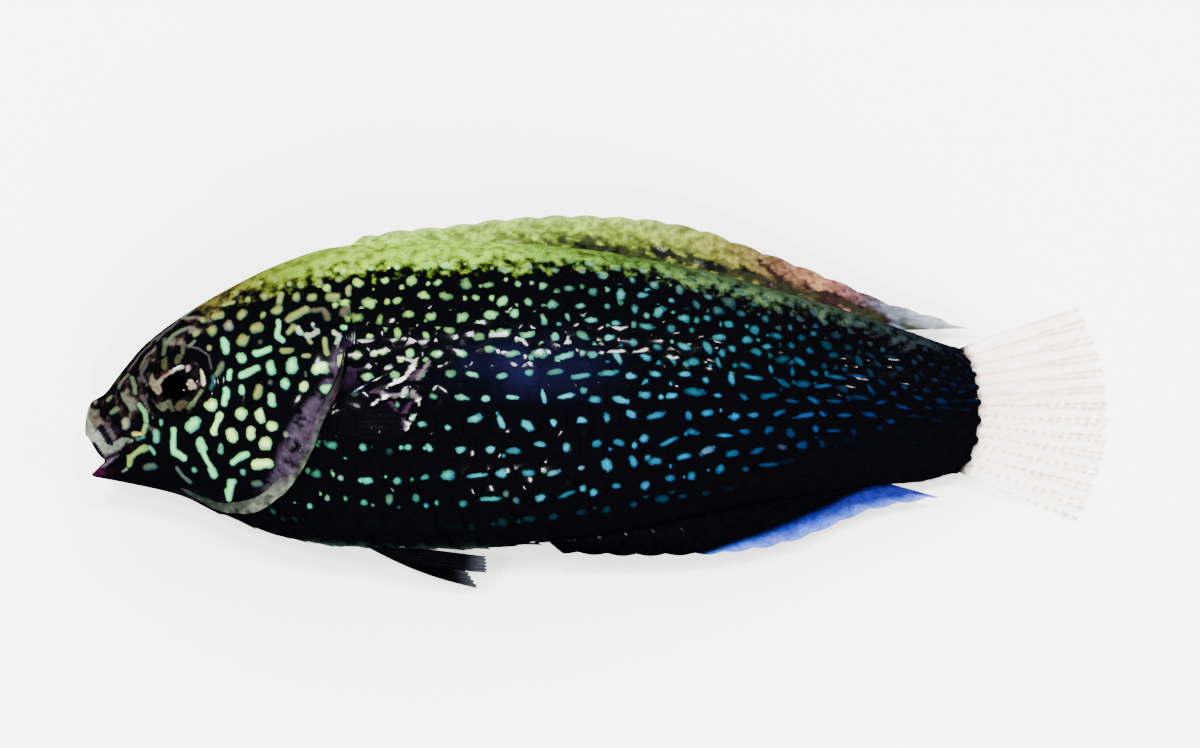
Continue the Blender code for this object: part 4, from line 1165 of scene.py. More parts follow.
def with_marks(tree, ground, tint, away, ragged):
    """The marks over the ground: first a darker rim, then the uneven pale core."""
    rim = add_node(tree, RANGE, {"Value": away, 1: 1.12, 2: 0.92}, interpolation_type="SMOOTHSTEP")
    core = add_node(tree, RANGE, {"Value": away, 1: 0.98, 2: 0.3}, interpolation_type="SMOOTHSTEP")
    edge = add_node(tree, VECTOR, {0: tint, 1: RIM_SHADE, 2: ground}, operation="MULTIPLY_ADD")
    rimmed = add_node(tree, MIX, {FACTOR: rim.outputs[0], FIRST_COLOUR: ground,
                                  SECOND_COLOUR: edge.outputs[0]}, data_type="RGBA")
    uneven = add_node(tree, RANGE, {"Value": ragged, 1: 0.32, 2: 0.68, 3: 0.7, 4: 1.22})
    pale = add_node(tree, VECTOR, {0: tint, "Scale": uneven.outputs[0]}, operation="SCALE")
    spotted = add_node(tree, MIX, {FACTOR: core.outputs[0], FIRST_COLOUR: rimmed.outputs[MIXED],
                                   SECOND_COLOUR: pale.outputs[0]}, data_type="RGBA")
    return spotted.outputs[MIXED]


def wet_relief(tree, place, grain):
    """Swellings that break the lamps' mirror images into glints, and the fine grain of the skin."""
    uneven = add_node(tree, NOISE, {"Vector": place, "Scale": per_mm(2.6), "Detail": 2.0})
    swell = add_node(tree, BUMP, {"Height": uneven.outputs["Fac"], "Strength": 0.8, "Distance": 0.09 * MM})
    relief = add_node(tree, BUMP, {"Height": grain, "Strength": 0.35, "Distance": 0.012 * MM,
                                   "Normal": swell.outputs["Normal"]})
    return relief.outputs["Normal"]


def spotted_finish(name, on_scales, roughness, ragged_by):
    """Black wet skin with pale ragged spots and the back's olive band."""
    made, tree, shader = new_material(name)
    place = add_node(tree, "ShaderNodeTexCoord").outputs["Object"]
    ragged, mottle, grain = (
        add_node(tree, NOISE, {"Vector": place, "Scale": per_mm(waves),
                               "Detail": detail}).outputs["Fac"]
                             for waves, detail in ((2.9, 3.0), (1.9, 5.0), (9.0, 3.0)))
    measures = ("spot", "dot") if on_scales else ("mark",)
    read = {}
    for attribute in ("ground", "tint", "back_tint", "band", *measures):
        read[attribute] = add_node(tree, READ, attribute_name=attribute).outputs
    shake = add_node(tree, MATH, {0: ragged, 1: ragged_by, 2: -ragged_by / 2}, operation="MULTIPLY_ADD")
    away = add_node(tree, MATH, {0: nearest_mark(tree, read, on_scales), 1: shake.outputs[0]},
                    operation="ADD")
    ground = banded_ground(tree, read, mottle)
    colour = with_marks(tree, ground, read["tint"]["Color"], away.outputs[0], ragged)
    rough = add_node(tree, RANGE, {"Value": mottle, 1: 0.3, 2: 0.7,
                                   3: roughness - 0.06, 4: roughness + 0.08})
    tree.links.new(colour, shader.inputs["Base Color"])
    tree.links.new(rough.outputs[0], shader.inputs["Roughness"])
    tree.links.new(wet_relief(tree, place, grain), shader.inputs["Normal"])
    wet_coat(shader, FLESH_IOR, 0.0, 0.2, 0.06, FILM_IOR)
    print(name, "nodes:", len(tree.nodes))
    return made


wet_skin = spotted_finish("wet_spotted_skin", False, 0.42, 0.9)
wet_scale = spotted_finish("wet_spotted_scale", True, 0.4, 1.7)
skin_piece.data.materials.append(wet_skin)

# %% [markdown]
# # The coat of scales
# A scale is a thin plate whose front end is buried in the skin and whose rounded rear end lies on the next
# one. All are alike, so Geometry Nodes set one plate on every point of a flat sheet, with a little
# difference in turn and size from a fixed seed. Then the sheet is bent round the body.

# %% One scale plate, one column long and one row high
PLATE_LONG = (0.0, 0.3, 0.56, 0.78, 0.94, 1.0)
PLATE_WIDE = (-1.0, -0.72, -0.28, 0.28, 0.72, 1.0)
PLATE_FRONT, PLATE_REAR, PLATE_SWEEP, PLATE_HALF = -1.02, 0.52, 0.27, 0.6
PLATE_RISE, PLATE_SINK, PLATE_DOME, PLATE_CURVE = 0.105, 0.035, 0.055, 1.15
PLATE_THICK, PLATE_LIP = 0.045, 0.012

plate_points = []
for under in (False, True):
    for a in PLATE_LONG:
        for b in PLATE_WIDE:
            rear = PLATE_REAR - PLATE_SWEEP * b * b
            rise = -PLATE_SINK + (PLATE_RISE + PLATE_SINK) * a ** PLATE_CURVE - PLATE_DOME * b * b
            rise -= PLATE_LIP * max(a - PLATE_LONG[-2], 0) / (PLATE_LONG[-1] - PLATE_LONG[-2])
            rise -= PLATE_THICK * (0.4 + 0.6 * a) if under else 0.0
            plate_points.append((PLATE_FRONT + (rear - PLATE_FRONT) * a, b * PLATE_HALF, rise))
top_count = len(PLATE_LONG) * len(PLATE_WIDE)
plate_faces = grid_quads(len(PLATE_LONG), len(PLATE_WIDE)).tolist()
plate_rim = grid_rim(len(PLATE_LONG), len(PLATE_WIDE))
for here, there in zip(plate_rim, plate_rim[1:] + plate_rim[:1]):
    plate_faces.append([here, there, there + top_count, here + top_count])
plate_faces.append([number + top_count for number in plate_rim])
plate_mesh = bpy.data.meshes.new("scale_plate")
plate_mesh.from_pydata(plate_points, [], plate_faces)
plate = bpy.data.objects.new("scale_plate", plate_mesh)
bpy.context.scene.collection.objects.link(plate)
print("faces of one scale:", len(plate_faces))

# %% [markdown]
# # A sheet of scales
# The tree's sizes and its seed are inputs, so that both flanks use the same tree with different chance.

# %% Geometry Nodes that set a plate on every point


def scale_tree(finish):
    """A tree that sets the plate on each point, turned and sized a little by chance."""
    seed_step = 5.0
    tree = bpy.data.node_groups.new("sheet_of_scales", "GeometryNodeTree")
    face = tree.interface
    face.new_socket("Points", in_out="INPUT", socket_type="NodeSocketGeometry")
    inputs = {}
    for name, kind in (("Plate", "Object"), ("Turn", "Float"), ("Size change", "Float"), ("Seed", "Int")):
        inputs[name] = face.new_socket(name, in_out="INPUT", socket_type="NodeSocket" + kind).identifier
    face.new_socket("Scales", in_out="OUTPUT", socket_type="NodeSocketGeometry")
    given = add_node(tree, "NodeGroupInput").outputs
    shape = add_node(tree, "GeometryNodeObjectInfo", {"Object": given["Plate"]}).outputs["Geometry"]
    least_turn = add_node(tree, MATH, {0: given["Turn"], 1: -1.0}, operation="MULTIPLY")
    turn = add_node(tree, "FunctionNodeRandomValue", {2: least_turn.outputs[0], 3: given["Turn"],
                                                      "Seed": given["Seed"]}, data_type="FLOAT")
    least = add_node(tree, MATH, {0: 1.0, 1: given["Size change"]}, operation="SUBTRACT")
    most = add_node(tree, MATH, {0: 1.0, 1: given["Size change"]}, operation="ADD")
    other_seed = add_node(tree, MATH, {0: given["Seed"], 1: seed_step}, operation="ADD")
    size = add_node(tree, "FunctionNodeRandomValue", {2: least.outputs[0], 3: most.outputs[0],
                                                      "Seed": other_seed.outputs[0]}, data_type="FLOAT")
    spin = add_node(tree, "ShaderNodeCombineXYZ", {"Z": turn.outputs[1]})
    setting = add_node(tree, "GeometryNodeInstanceOnPoints", {"Points": given["Points"], "Instance": shape,
                                                              "Rotation": spin.outputs[0], "Scale": size.outputs[1]})
    real = add_node(tree, "GeometryNodeRealizeInstances", {"Geometry": setting.outputs[0]})
    done = add_node(tree, "GeometryNodeSetMaterial", {"Geometry": real.outputs[0], "Material": finish})
    add_node(tree, "NodeGroupOutput", {"Scales": done.outputs[0]})
    return tree, inputs


scale_nodes, scale_inputs = scale_tree(wet_scale)
PLATE_SETTINGS = {"Plate": plate, "Turn": math.radians(3.5), "Size change": 0.045}


def sheet_of_scales(name, chosen, seed):
    """A flat sheet with the chosen scales, one unit to a column and to a row, as a plain mesh."""
    mesh = bpy.data.meshes.new(name)
    mesh.from_pydata([(scale_column[k], scale_row[k], 0.0) for k in chosen], [], [])
    numbers = mesh.attributes.new("scale_number", "INT", "POINT")
    numbers.data.foreach_set("value", np.array(chosen, np.int32))
    sheet = bpy.data.objects.new(name, mesh)
    bpy.context.scene.collection.objects.link(sheet)
    modifier = sheet.modifiers.new("scales", "NODES")
    modifier.node_group = scale_nodes
    for setting, value in {**PLATE_SETTINGS, "Seed": seed}.items():
        modifier[scale_inputs[setting]] = value
    bpy.context.view_layer.update()
    graph = bpy.context.evaluated_depsgraph_get()
    made = bpy.data.meshes.new_from_object(sheet.evaluated_get(graph))
    sheet.modifiers.clear()
    sheet.data = made
    return sheet


print("nodes that lay the scales:", len(scale_nodes.nodes))

# %% [markdown]
# # Bending the sheet
# A point's column, row and height over the sheet become a place along the body, a share of the girth and a
# rise over the skin. Every scale also leans a little its own way, so that no two mirror a lamp alike.

# %% Bend the sheet round the body
PATCH_SHRINK = 0.62
LEAN, LEAN_SEED = 0.045, 19
SHARP_SCALE = 40
scale_lean = np.random.default_rng(LEAN_SEED).normal(0, LEAN, (count, 2)).clip(-2 * LEAN, 2 * LEAN)


def bend_scales(sheet):
    """Wraps a flat sheet of scales round the trunk and stores what its material reads."""
    mesh = sheet.data
    flat = np.empty(len(mesh.vertices) * 3, np.float32)
    mesh.vertices.foreach_get("co", flat)
    flat = flat.reshape(-1, 3).astype(float)
    number = np.empty(len(mesh.vertices), np.int32)
    mesh.attributes["scale_number"].data.foreach_get("value", number)
    s = np.interp(flat[:, 0], column_numbers, column_places)
    share = share_of_row(flat[:, 1])
    dx = (flat[:, 0] - scale_column[number]) * column_mm[number]
    dy = (flat[:, 1] - scale_row[number]) * row_mm[number]
    tipped = (scale_lean[number, 0] * dx + scale_lean[number, 1] * dy) * ease((dx + 0.7) / 0.6)
    rise = flat[:, 2] * row_mm[number] / row_mm.max() + tipped
    angle = angle_at_share(s, share)
    bent = body_point(s, angle, COAT - rise, cover=0.0)
    mesh.vertices.foreach_set("co", to_world(bent).astype(np.float32).ravel())
    spot, dot = spot_offset(number, dx, dy)
    plain_s, plain_t = bent[:, 0], bent[:, 1]
    for name, colours in (("ground", ground_colour(plain_s, plain_t, bent[:, 2])),
            ("tint", spot_tint(number, spot)), ("back_tint", back_tint(plain_s, plain_t))):
        store(mesh, name, "FLOAT_COLOR", opaque(colours))
    store(mesh, "band", "FLOAT", plain_t - black_top(plain_s))
    store(mesh, "spot", "FLOAT_VECTOR", spot)
    store(mesh, "dot", "FLOAT_VECTOR", dot)
    u = (scale_s[number] + dx * PATCH_SHRINK + 2) / UNWRAP
    v = 0.5 + (scale_share[number] * half_girth_at(scale_s[number]) + dy * PATCH_SHRINK) / UNWRAP
    loops = np.empty(len(mesh.loops), np.int32)
    mesh.loops.foreach_get("vertex_index", loops)
    layer = mesh.uv_layers.new(name="OFBake")
    layer.data.foreach_set("uv", np.stack([u, v], 1)[loops].astype(np.float32).ravel())
    mesh.shade_smooth()
    mesh.set_sharp_from_angle(angle=math.radians(SHARP_SCALE))
    return sheet


coat_pieces = []
for seed, (side_name, way) in enumerate(FLANKS, start=3):
    chosen = [k for k in range(count) if (scale_row[k] >= 0) == (way > 0)]
    coat_pieces.append(bend_scales(sheet_of_scales("scales_" + side_name, chosen, seed)))
    print("scales_" + side_name, "faces:", len(coat_pieces[-1].data.polygons))
bpy.data.objects.remove(plate)

# %% [markdown]
# # The gill flap
# The gill cover ends in a soft fold of skin that closes the opening. It is a pale, thin-edged strip about
# half a millimetre wide, a piece of its own with its front edge sunk in the skin.

# %% Strips along the gill covers
FLAP_LINE = (
    (13.42, 3.04), (13.2, 1.75), (12.66, 0.6), (12.2, -0.3), (11.8, -1.55), (11.1, -2.8), (10.2, -3.9),
    (9.2, -4.66), (8.05, -4.98), (7.00, -4.94), (6.00, -4.5), (5.00, -3.95),
)
FLAP_SECTION = (
    (0.52, -0.14), (0.46, 0.00), (0.34, 0.03), (0.2, 0.045), (0.06, 0.05), (-0.08, 0.05), (-0.2, 0.04),
    (-0.31, -0.03), (-0.26, -0.13), (0.2, -0.17),
)
FLAP_TONES = (0.4, 0.6, 0.8, 0.9, 0.9, 1.0, 1.2, 1.3, 0.7, 0.4)
FLAP_WIDTHS = ((0.0, 0.25, 0.42, 0.56, 0.75, 1.0), (0.25, 0.42, 0.7, 0.95, 0.85, 0.45))
FLAP_STEPS, FLAP_WAVES, FLAP_WAVE = 14, 40, 0.02
# Along the flap's length: purple at the top, grey-green at the throat.
flap_colour = colour_run((
    (0.0, "#1c1220"), (0.16, "#2a1c28"), (0.34, "#262a26"), (0.46, "#343a32"), (0.54, "#3c4238"),
    (0.66, "#42463c"), (0.8, "#20261f"), (1.0, "#122018"),
))


def flap_points(side):
    """The flap's points, and each section's share of the length."""
    line = bend_through(FLAP_LINE, FLAP_STEPS)
    run = np.gradient(line, axis=0)
    run = run / np.linalg.norm(run, axis=1)[:, None]
    ahead = np.stack([run[:, 1], -run[:, 0]], axis=1)
    length = np.linspace(0, 1, len(line))
    taper = np.clip(np.minimum(length / 0.1, (1 - length) / 0.25), 0.05, 1) ** 0.6
    narrow = np.interp(length, *FLAP_WIDTHS)
    frill = np.maximum(narrow, 0.8) * (1 + 0.5 * (value_noise(length * 26, length * 0, 52) - 0.5))
    rows = []
    for reach, rise in FLAP_SECTION:
        at = line + ahead * (reach * taper * (frill if reach < 0 else narrow))[:, None]
        wave = FLAP_WAVE * np.sin(length * FLAP_WAVES) * (reach < 0.3)
        rows.append(flank_point(at[:, 0], at[:, 1], side, rise - HEAD_COAT + wave * taper, cover=1.0))
    return np.stack(rows, axis=1), length


def flap_paint(points, length):
    """Dark like the gill band in front, and pale towards the rim, with fine mottling."""
    reaches = np.array([reach for reach, _ in FLAP_SECTION])
    to_rim = np.maximum(ease((0.16 - reaches) / 0.22)[None, :], ease((length - 0.47) / 0.12)[:, None])
    colour = lay_over(all_over(GILL_SHADE, to_rim), flap_colour(length)[:, None], to_rim)
    colour = colour * np.array(FLAP_TONES)[:, None] * ease((length - 0.08) / 0.2)[:, None, None]
    return colour * (0.15 + 1.3 * value_noise(points[..., 0] * 3.6, points[..., 1] * 3.6, 51))[..., None]


def gill_flap(name, side):
    points, length = flap_points(side)
    across = len(FLAP_SECTION)
    quads = grid_quads(len(length), across, wrap=True)
    last = (len(length) - 1) * across
    caps = [list(range(across))[::-1], list(range(last, last + across))]
    made = make_piece(name, points.reshape(-1, 3), quads, caps, sharp=70)
    store(made.data, "film", "FLOAT_COLOR", opaque(flap_paint(points, length)).reshape(-1, 4))
    print(name, "faces:", len(made.data.polygons))
    return made


gill_flaps = [gill_flap("gill_flap_" + side_name, way) for side_name, way in FLANKS]

# %% [markdown]
# # Fin membrane
# A fin is a film of skin stretched between bony rays. It lets light through, so its finish takes both a
# colour and a clearness from the mesh: clear on the tail, olive on the back, black under the breast.

# %% The film finish


def film_finish(name, roughness, speckle, gloss):
    """Wet film: colour and clearness from the mesh, with fine specks of pigment."""
    made, tree, shader = new_material(name)
    place = add_node(tree, "ShaderNodeTexCoord").outputs["Object"]
    film = add_node(tree, READ, attribute_name="film")
    specks = add_node(tree, NOISE, {"Vector": place, "Scale": per_mm(3.2), "Detail": 4.0})
    shade = add_node(tree, RANGE, {"Value": specks.outputs["Fac"], 1: 0.3, 2: 0.7,
                                   3: 1 - speckle, 4: 1 + speckle})
    colour = add_node(tree, VECTOR, {0: film.outputs["Color"], "Scale": shade.outputs[0]}, operation="SCALE")
    tree.links.new(colour.outputs[0], shader.inputs["Base Color"])
    tree.links.new(film.outputs["Alpha"], shader.inputs["Alpha"])
    relief = add_node(tree, BUMP, {"Height": specks.outputs["Fac"], "Strength": 0.3, "Distance": 0.01 * MM})
    tree.links.new(relief.outputs["Normal"], shader.inputs["Normal"])
    shader.inputs["Roughness"].default_value = roughness
    wet_coat(shader, FLESH_IOR, gloss * 0.3, gloss, 0.08, 1.25)
    print(name, "nodes:", len(tree.nodes))
    return made


clear_film = film_finish("wet_clear_fin", 0.4, 0.35, 0.3)
dark_film = film_finish("wet_dark_fin", 0.5, 0.45, 0.04)
flap_skin = film_finish("wet_gill_flap", 0.45, 0.55, 0.16)
for flap in gill_flaps:
    flap.data.materials.append(flap_skin)

# %% [markdown]
# # Fins with their rays
# Each fin is a closed web with two faces. Its middle surface is a rule: where a ray starts on the body and
# where it ends. Thickness is a thin film plus a rounded ridge for each ray, and the soft rays fork half-way
# to the margin, as they do on the real fish. One function makes every fin from its own rule.

# %% Web of a fin
FILM_THICK, RAY_THICK, RAY_WIDTH = 0.05, 0.17, 0.11
FORK_START, FORK_SPREAD = 0.42, 0.17
PER_GAP = 12


def fin_ridge(at_ray, v, gap_mm, forked):
    """How much of a ray there is at a place: 1 on its middle. At_ray counts rays from the fin's front."""
    ridge = np.zeros(np.shape(at_ray))
    spread = FORK_SPREAD * ease((v - FORK_START) / 0.4) * forked
    nearest = np.round(at_ray)
    for ray in (nearest - 1, nearest, nearest + 1):
        for way in (-1, 1):
            ridge = np.maximum(ridge, bump((at_ray - ray - way * spread) * gap_mm, RAY_WIDTH * (1 - 0.35 * v)))
    return ridge


def make_fin(name, rays, rows, middle, film, finish, ray_thick=RAY_THICK, forked=1.0, least=0.02):
    """A fin. Middle(u, v) gives its middle surface, film(u, v, ridge, points) its colour and clearness."""
    columns = (rays - 1) * PER_GAP + 1
    u, v = np.meshgrid(np.linspace(0, 1, columns), np.linspace(0, 1, rows), indexing="ij")
    points = middle(u, v)
    gap = np.linalg.norm(np.diff(points, axis=0), axis=-1)
    gap = np.concatenate([gap, gap[-1:]], axis=0) * PER_GAP
    ridge = fin_ridge(u * (rays - 1), v, gap, forked)
    half = (FILM_THICK + ray_thick * ridge * (1 - 0.55 * v)) / 2 * (1 - 0.3 * v)
    low = np.maximum(points[..., 2], half + least)
    sheets = []
    for way in (1, -1):
        face = points.copy()
        face[..., 2] = low + way * half
        sheets.append(face.reshape(-1, 3))
    top = grid_quads(columns, rows)
    under = columns * rows
    rim = np.array(grid_rim(columns, rows))
    after = np.roll(rim, -1)
    edge = np.stack([rim, after, after + under, rim + under], axis=1)
    quads = np.concatenate([top, top[:, ::-1] + under, edge])
    made = make_piece(name, np.concatenate(sheets), quads, sharp=75)
    colour = film(u, v, ridge, points).reshape(-1, 4)
    store(made.data, "film", "FLOAT_COLOR", np.concatenate([colour, colour]))
    made.data.materials.append(finish)
    return made




def scallop(u, rays, depth):
    """How far the margin falls back between two rays."""
    return depth * (1 - np.abs(np.cos(math.pi * u * (rays - 1))))


def rgba(colour, alpha):
    return np.concatenate([colour, np.clip(alpha, 0, 1)[..., None]], axis=-1)


# %% [markdown]
# # Back fin and anal fin
# Both are folded back against the body. The back fin is a see-through yellow-green that turns tan and then
# clear towards the tail, with dark streaks at its base that are painted shadow where it folds against the back.
# The anal fin is black with a blue margin, partly its own clear edge and partly a painted blue shadow.

# %% Dorsal and anal fins
FIN_SUNK = 0.45
MEDIAN_DROOP, MEDIAN_RIPPLE, MEDIAN_SCALLOP = 0.55, 0.05, 0.12
DORSAL_RAYS, DORSAL_BASE, DORSAL_RAKE = 20, (12.9, 41.0), (1.1, 4.0)
DORSAL_EDGE = (
    (13.8, 8.85), (16.0, 9.2), (18.5, 9.42), (21.0, 9.75), (24.5, 9.95), (28.0, 9.8), (31.0, 9.3),
    (33.2, 8.55), (36.2, 7.45), (38.7, 6.45), (40.8, 5.55), (43.0, 4.9), (45.0, 4.2),
)
ANAL_RAYS, ANAL_BASE, ANAL_RAKE = 14, (23.2, 40.2), (1.0, 3.4)
ANAL_EDGE = (
    (24.2, -7.35), (28.0, -7.5), (31.1, -7.45), (34.2, -7.15), (36.2, -6.7), (38.0, -6.00), (40.0, -5.2),
    (43.6, -4.55),
)


def median_middle(rays, base, rake, edge, line_at, side):
    edge_at = smooth_curve(edge)

    def middle(u, v):
        start = base[0] + (base[1] - base[0]) * u
        end = start + rake[0] + (rake[1] - rake[0]) * u
        root = line_at(start) - side * FIN_SUNK
        tip = edge_at(end) - side * (0.03 + scallop(u, rays, MEDIAN_SCALLOP))
        s = start + (end - start) * v
        t = root + (tip - root) * v ** 0.9
        ripple = MEDIAN_RIPPLE * np.sin(u * 13 + v * 2) * v
        return np.stack([s, t, rest_height(s) - MEDIAN_DROOP * v * v + ripple], axis=-1)

    return middle


dorsal_colour = colour_run((
    (13.0, "#5e7a28"), (20.0, "#566e24"), (27.0, "#52621c"), (31.0, "#4c521e"), (33.5, "#4a431e"),
    (35.5, "#432c20"),
    (37.2, "#624630"), (38.4, "#4a2c2a"), (39.8, "#32282e"), (42.0, "#3c4658"), (45.0, "#6a7078"),
))
STREAK_HEIGHT = 3.9
# Painted shadow: dark streaks where the folded back fin lies on the back, each a chain of places.
DORSAL_BASE_SHADOWS = (
    ((575, 246), (600, 251), (640, 262)), ((650, 250), (662, 252), (682, 260)),
    ((690, 258), (704, 262), (722, 271)),
    ((742, 268), (756, 275), (772, 284)), ((762, 262), (778, 276), (790, 290)),
    ((806, 285), (820, 296), (838, 306)),
    ((826, 292), (842, 299), (858, 309)), ((850, 303), (866, 310), (888, 319)),
)


def dorsal_film(u, v, ridge, points):
    s, t = points[..., 0], points[..., 1]
    patches = value_noise(s * 1.5, t * 2.3, 23) * 0.5 + value_noise(s * 4.5, t * 6.0, 24) * 0.5
    colour = dorsal_colour(s) * (0.55 + 0.9 * ease((patches - 0.3) / 0.4))[..., None]
    colour = lay_over(colour, linear("#788a4a"), 0.35 * ease((v - 0.6) / 0.4) * ease((32 - s) / 4))
    colour = lay_over(colour, colour * 0.5, ridge * 0.45)
    dark = np.full(np.shape(s), NO_MARK)
    for places in DORSAL_BASE_SHADOWS:
        dark = np.minimum(dark, line_distance(s, t, photo_line(places, STREAK_HEIGHT)))
    dark = dark + 0.34 * (value_noise(s * 4, t * 4, 21) - 0.5)
    streak = ease((0.27 - dark) / 0.12)
    # Painted shade along the fin's root, and the streaks painted as shadow in its fold against the back.
    base = ease((back_at(s) + 0.75 - t) / 0.6) * ease((value_noise(s * 2.6, t * 3.6, 22) - 0.25) / 0.3)
    colour = lay_over(colour, linear("#0f140a"), base * ease((s - 18) / 8) * 0.95)
    colour = lay_over(colour, linear("#050604"), streak * (s < 34))
    colour = lay_over(colour, linear("#150a0a"), streak * (s >= 34))
    blot = ease((value_noise(s * 1.9 + t * 1.2, t * 3.4, 25) - 0.5) / 0.14)
    blot = blot * ease((0.75 - v) / 0.4) * ease((s - 19) / 5)
    colour = lay_over(colour, linear("#15180c"), blot * 0.85)
    clear = ease((s - 39.5) / 3.0) * ease((v - 0.15) / 0.4)
    alpha = (0.99 - 0.09 * v ** 3) * (1 - clear) + 0.66 * clear
    return rgba(colour, np.maximum(alpha, np.maximum(streak, blot * 0.9)) + 0.1 * ridge)


# Where the blue begins: partly the fin's own clear blue edge, partly a painted blue shadow beside it.
BLUE_EDGE_AND_SHADOW = (
    (31.0, -7.6), (33.1, -6.84), (34.9, -6.18), (37.6, -5.06), (39.1, -4.35), (40.2, -4.0), (44.0, -3.8),
)
blue_from = smooth_curve(BLUE_EDGE_AND_SHADOW)


def anal_film(u, v, ridge, points):
    s, t = points[..., 0], points[..., 1]
    colour = all_over("#010102", s)
    # The blue is partly the fin's clear edge and partly painted shadow.
    margin = ease((blue_from(s) - t) / 0.4 + 0.4)
    colour = lay_over(colour, linear("#080c50"), margin)
    colour = lay_over(colour, linear("#1c3c98"), ease((v - 0.66) / 0.3) * margin)
    alpha = 1.0 - margin * (0.1 + 0.26 * ease((v - 0.7) / 0.3))
    return rgba(colour, alpha + 0.1 * ridge * margin)


dorsal = make_fin("back_fin", DORSAL_RAYS, 26,
        median_middle(DORSAL_RAYS, DORSAL_BASE, DORSAL_RAKE, DORSAL_EDGE, back_at, 1), dorsal_film,
        dark_film, 0.09)
anal = make_fin("belly_fin", ANAL_RAYS, 24,
                median_middle(ANAL_RAYS, ANAL_BASE, ANAL_RAKE, ANAL_EDGE, belly_at, -1), anal_film,
                dark_film, 0.05)
print("faces of the back fin:", len(dorsal.data.polygons), "of the anal fin:", len(anal.data.polygons))

# %% [markdown]
# # Tail fin
# The tail fin is almost as clear as glass: only its rays show, pink above and dotted with red below.

# %% Tail fin
CAUDAL_RAYS, CAUDAL_LENGTH, CAUDAL_SPREAD, CAUDAL_SAG, CAUDAL_ROUND = 14, 6.7, 5.6, 0.25, 0.9
CAUDAL_ROOT_HEIGHT, CAUDAL_SUNK, CAUDAL_STALK = 1.62, 0.5, 0.93
end_middle, end_half = (float(part[0]) for part in section(np.array([BODY_END]))[:2])


def caudal_middle(u, v):
    across = 1 - 2 * u
    end_s = BODY_END + TAIL_BULGE * (1 - (CAUDAL_STALK * across) ** 2)
    root_s = end_s - CAUDAL_SUNK
    tip_s = end_s + 0.36 + CAUDAL_LENGTH - CAUDAL_ROUND * across ** 2
    root_t = end_middle + end_half * across * 0.9
    tip_t = end_middle - CAUDAL_SAG + across * CAUDAL_SPREAD
    s = root_s + (tip_s - scallop(u, CAUDAL_RAYS, 0.16) - 0.03 - root_s) * v
    t = root_t + (tip_t - root_t) * v ** 0.95
    return np.stack([s, t, CAUDAL_ROOT_HEIGHT * (1 - ease(v * 1.15)) + 0.05 * np.sin(u * 23) * v], axis=-1)


def caudal_film(u, v, ridge, points):
    """Nearly clear: pink veins above, red dots below, and the dark skin that laps over the root."""
    s = points[..., 0]
    colour = all_over("#f4ece6", s)
    joint = 0.5 + 0.5 * np.sin(s * 13 + u * 60)
    dots = ridge * ease((joint - 0.35) / 0.4) * ease((u - 0.34) / 0.12)
    veins = ridge * ease((0.52 - u) / 0.15)
    colour = lay_over(colour, linear("#c08a84"), veins * 0.7)
    colour = lay_over(colour, linear("#8c3c30"), dots * 0.8)
    root = ease((0.16 - v) / 0.1)
    colour = lay_over(colour, linear("#08090c"), root)
    return rgba(colour, 0.16 + 0.22 * veins + 0.3 * dots + 0.1 * ridge + root)


caudal = make_fin("tail_fin", CAUDAL_RAYS, 44, caudal_middle, caudal_film, clear_film)
print("faces of the tail fin:", len(caudal.data.polygons))

# %% [markdown]
# # Paired fins
# The pectoral fin is a clear fan with pink rays that lies wet against the flank. The two pelvic fins are
# black and pointed, and the first ray of each runs on as a thread.

# %% Pectoral and pelvic fins
PECTORAL_RAYS, PECTORAL_ROOT = 12, ((13.5, 0.8), (13.1, -1.1))
PECTORAL_ANGLES = (27.0, -9.0)
PECTORAL_LENGTHS = ((0.0, 4.1), (0.12, 4.7), (0.45, 4.1), (0.75, 3.6), (1.0, 2.9))
pectoral_length = smooth_curve(PECTORAL_LENGTHS)


def pectoral_middle(side):
    (upper_s, upper_t), (lower_s, lower_t) = PECTORAL_ROOT

    def middle(u, v):
        angle = np.radians(PECTORAL_ANGLES[0] + (PECTORAL_ANGLES[1] - PECTORAL_ANGLES[0]) * u)
        reach = pectoral_length(u) * v - scallop(u, PECTORAL_RAYS, 0.1) * v
        s = upper_s + (lower_s - upper_s) * u + reach * np.cos(angle)
        t = upper_t + (lower_t - upper_t) * u + reach * np.sin(angle)
        lift = -0.1 + 0.36 * ease(v * 3.0) + 0.7 * v ** 1.5 * ease((1.1 - u) / 0.8)
        lift = lift + 0.05 * np.sin(u * 17) * v
        lift = lift if side > 0 else np.minimum(lift, 0.32)
        point = flank_point(s, t, side, lift, cover=0.0)
        return np.stack([s, t, point[..., 2]], axis=-1)

    return middle


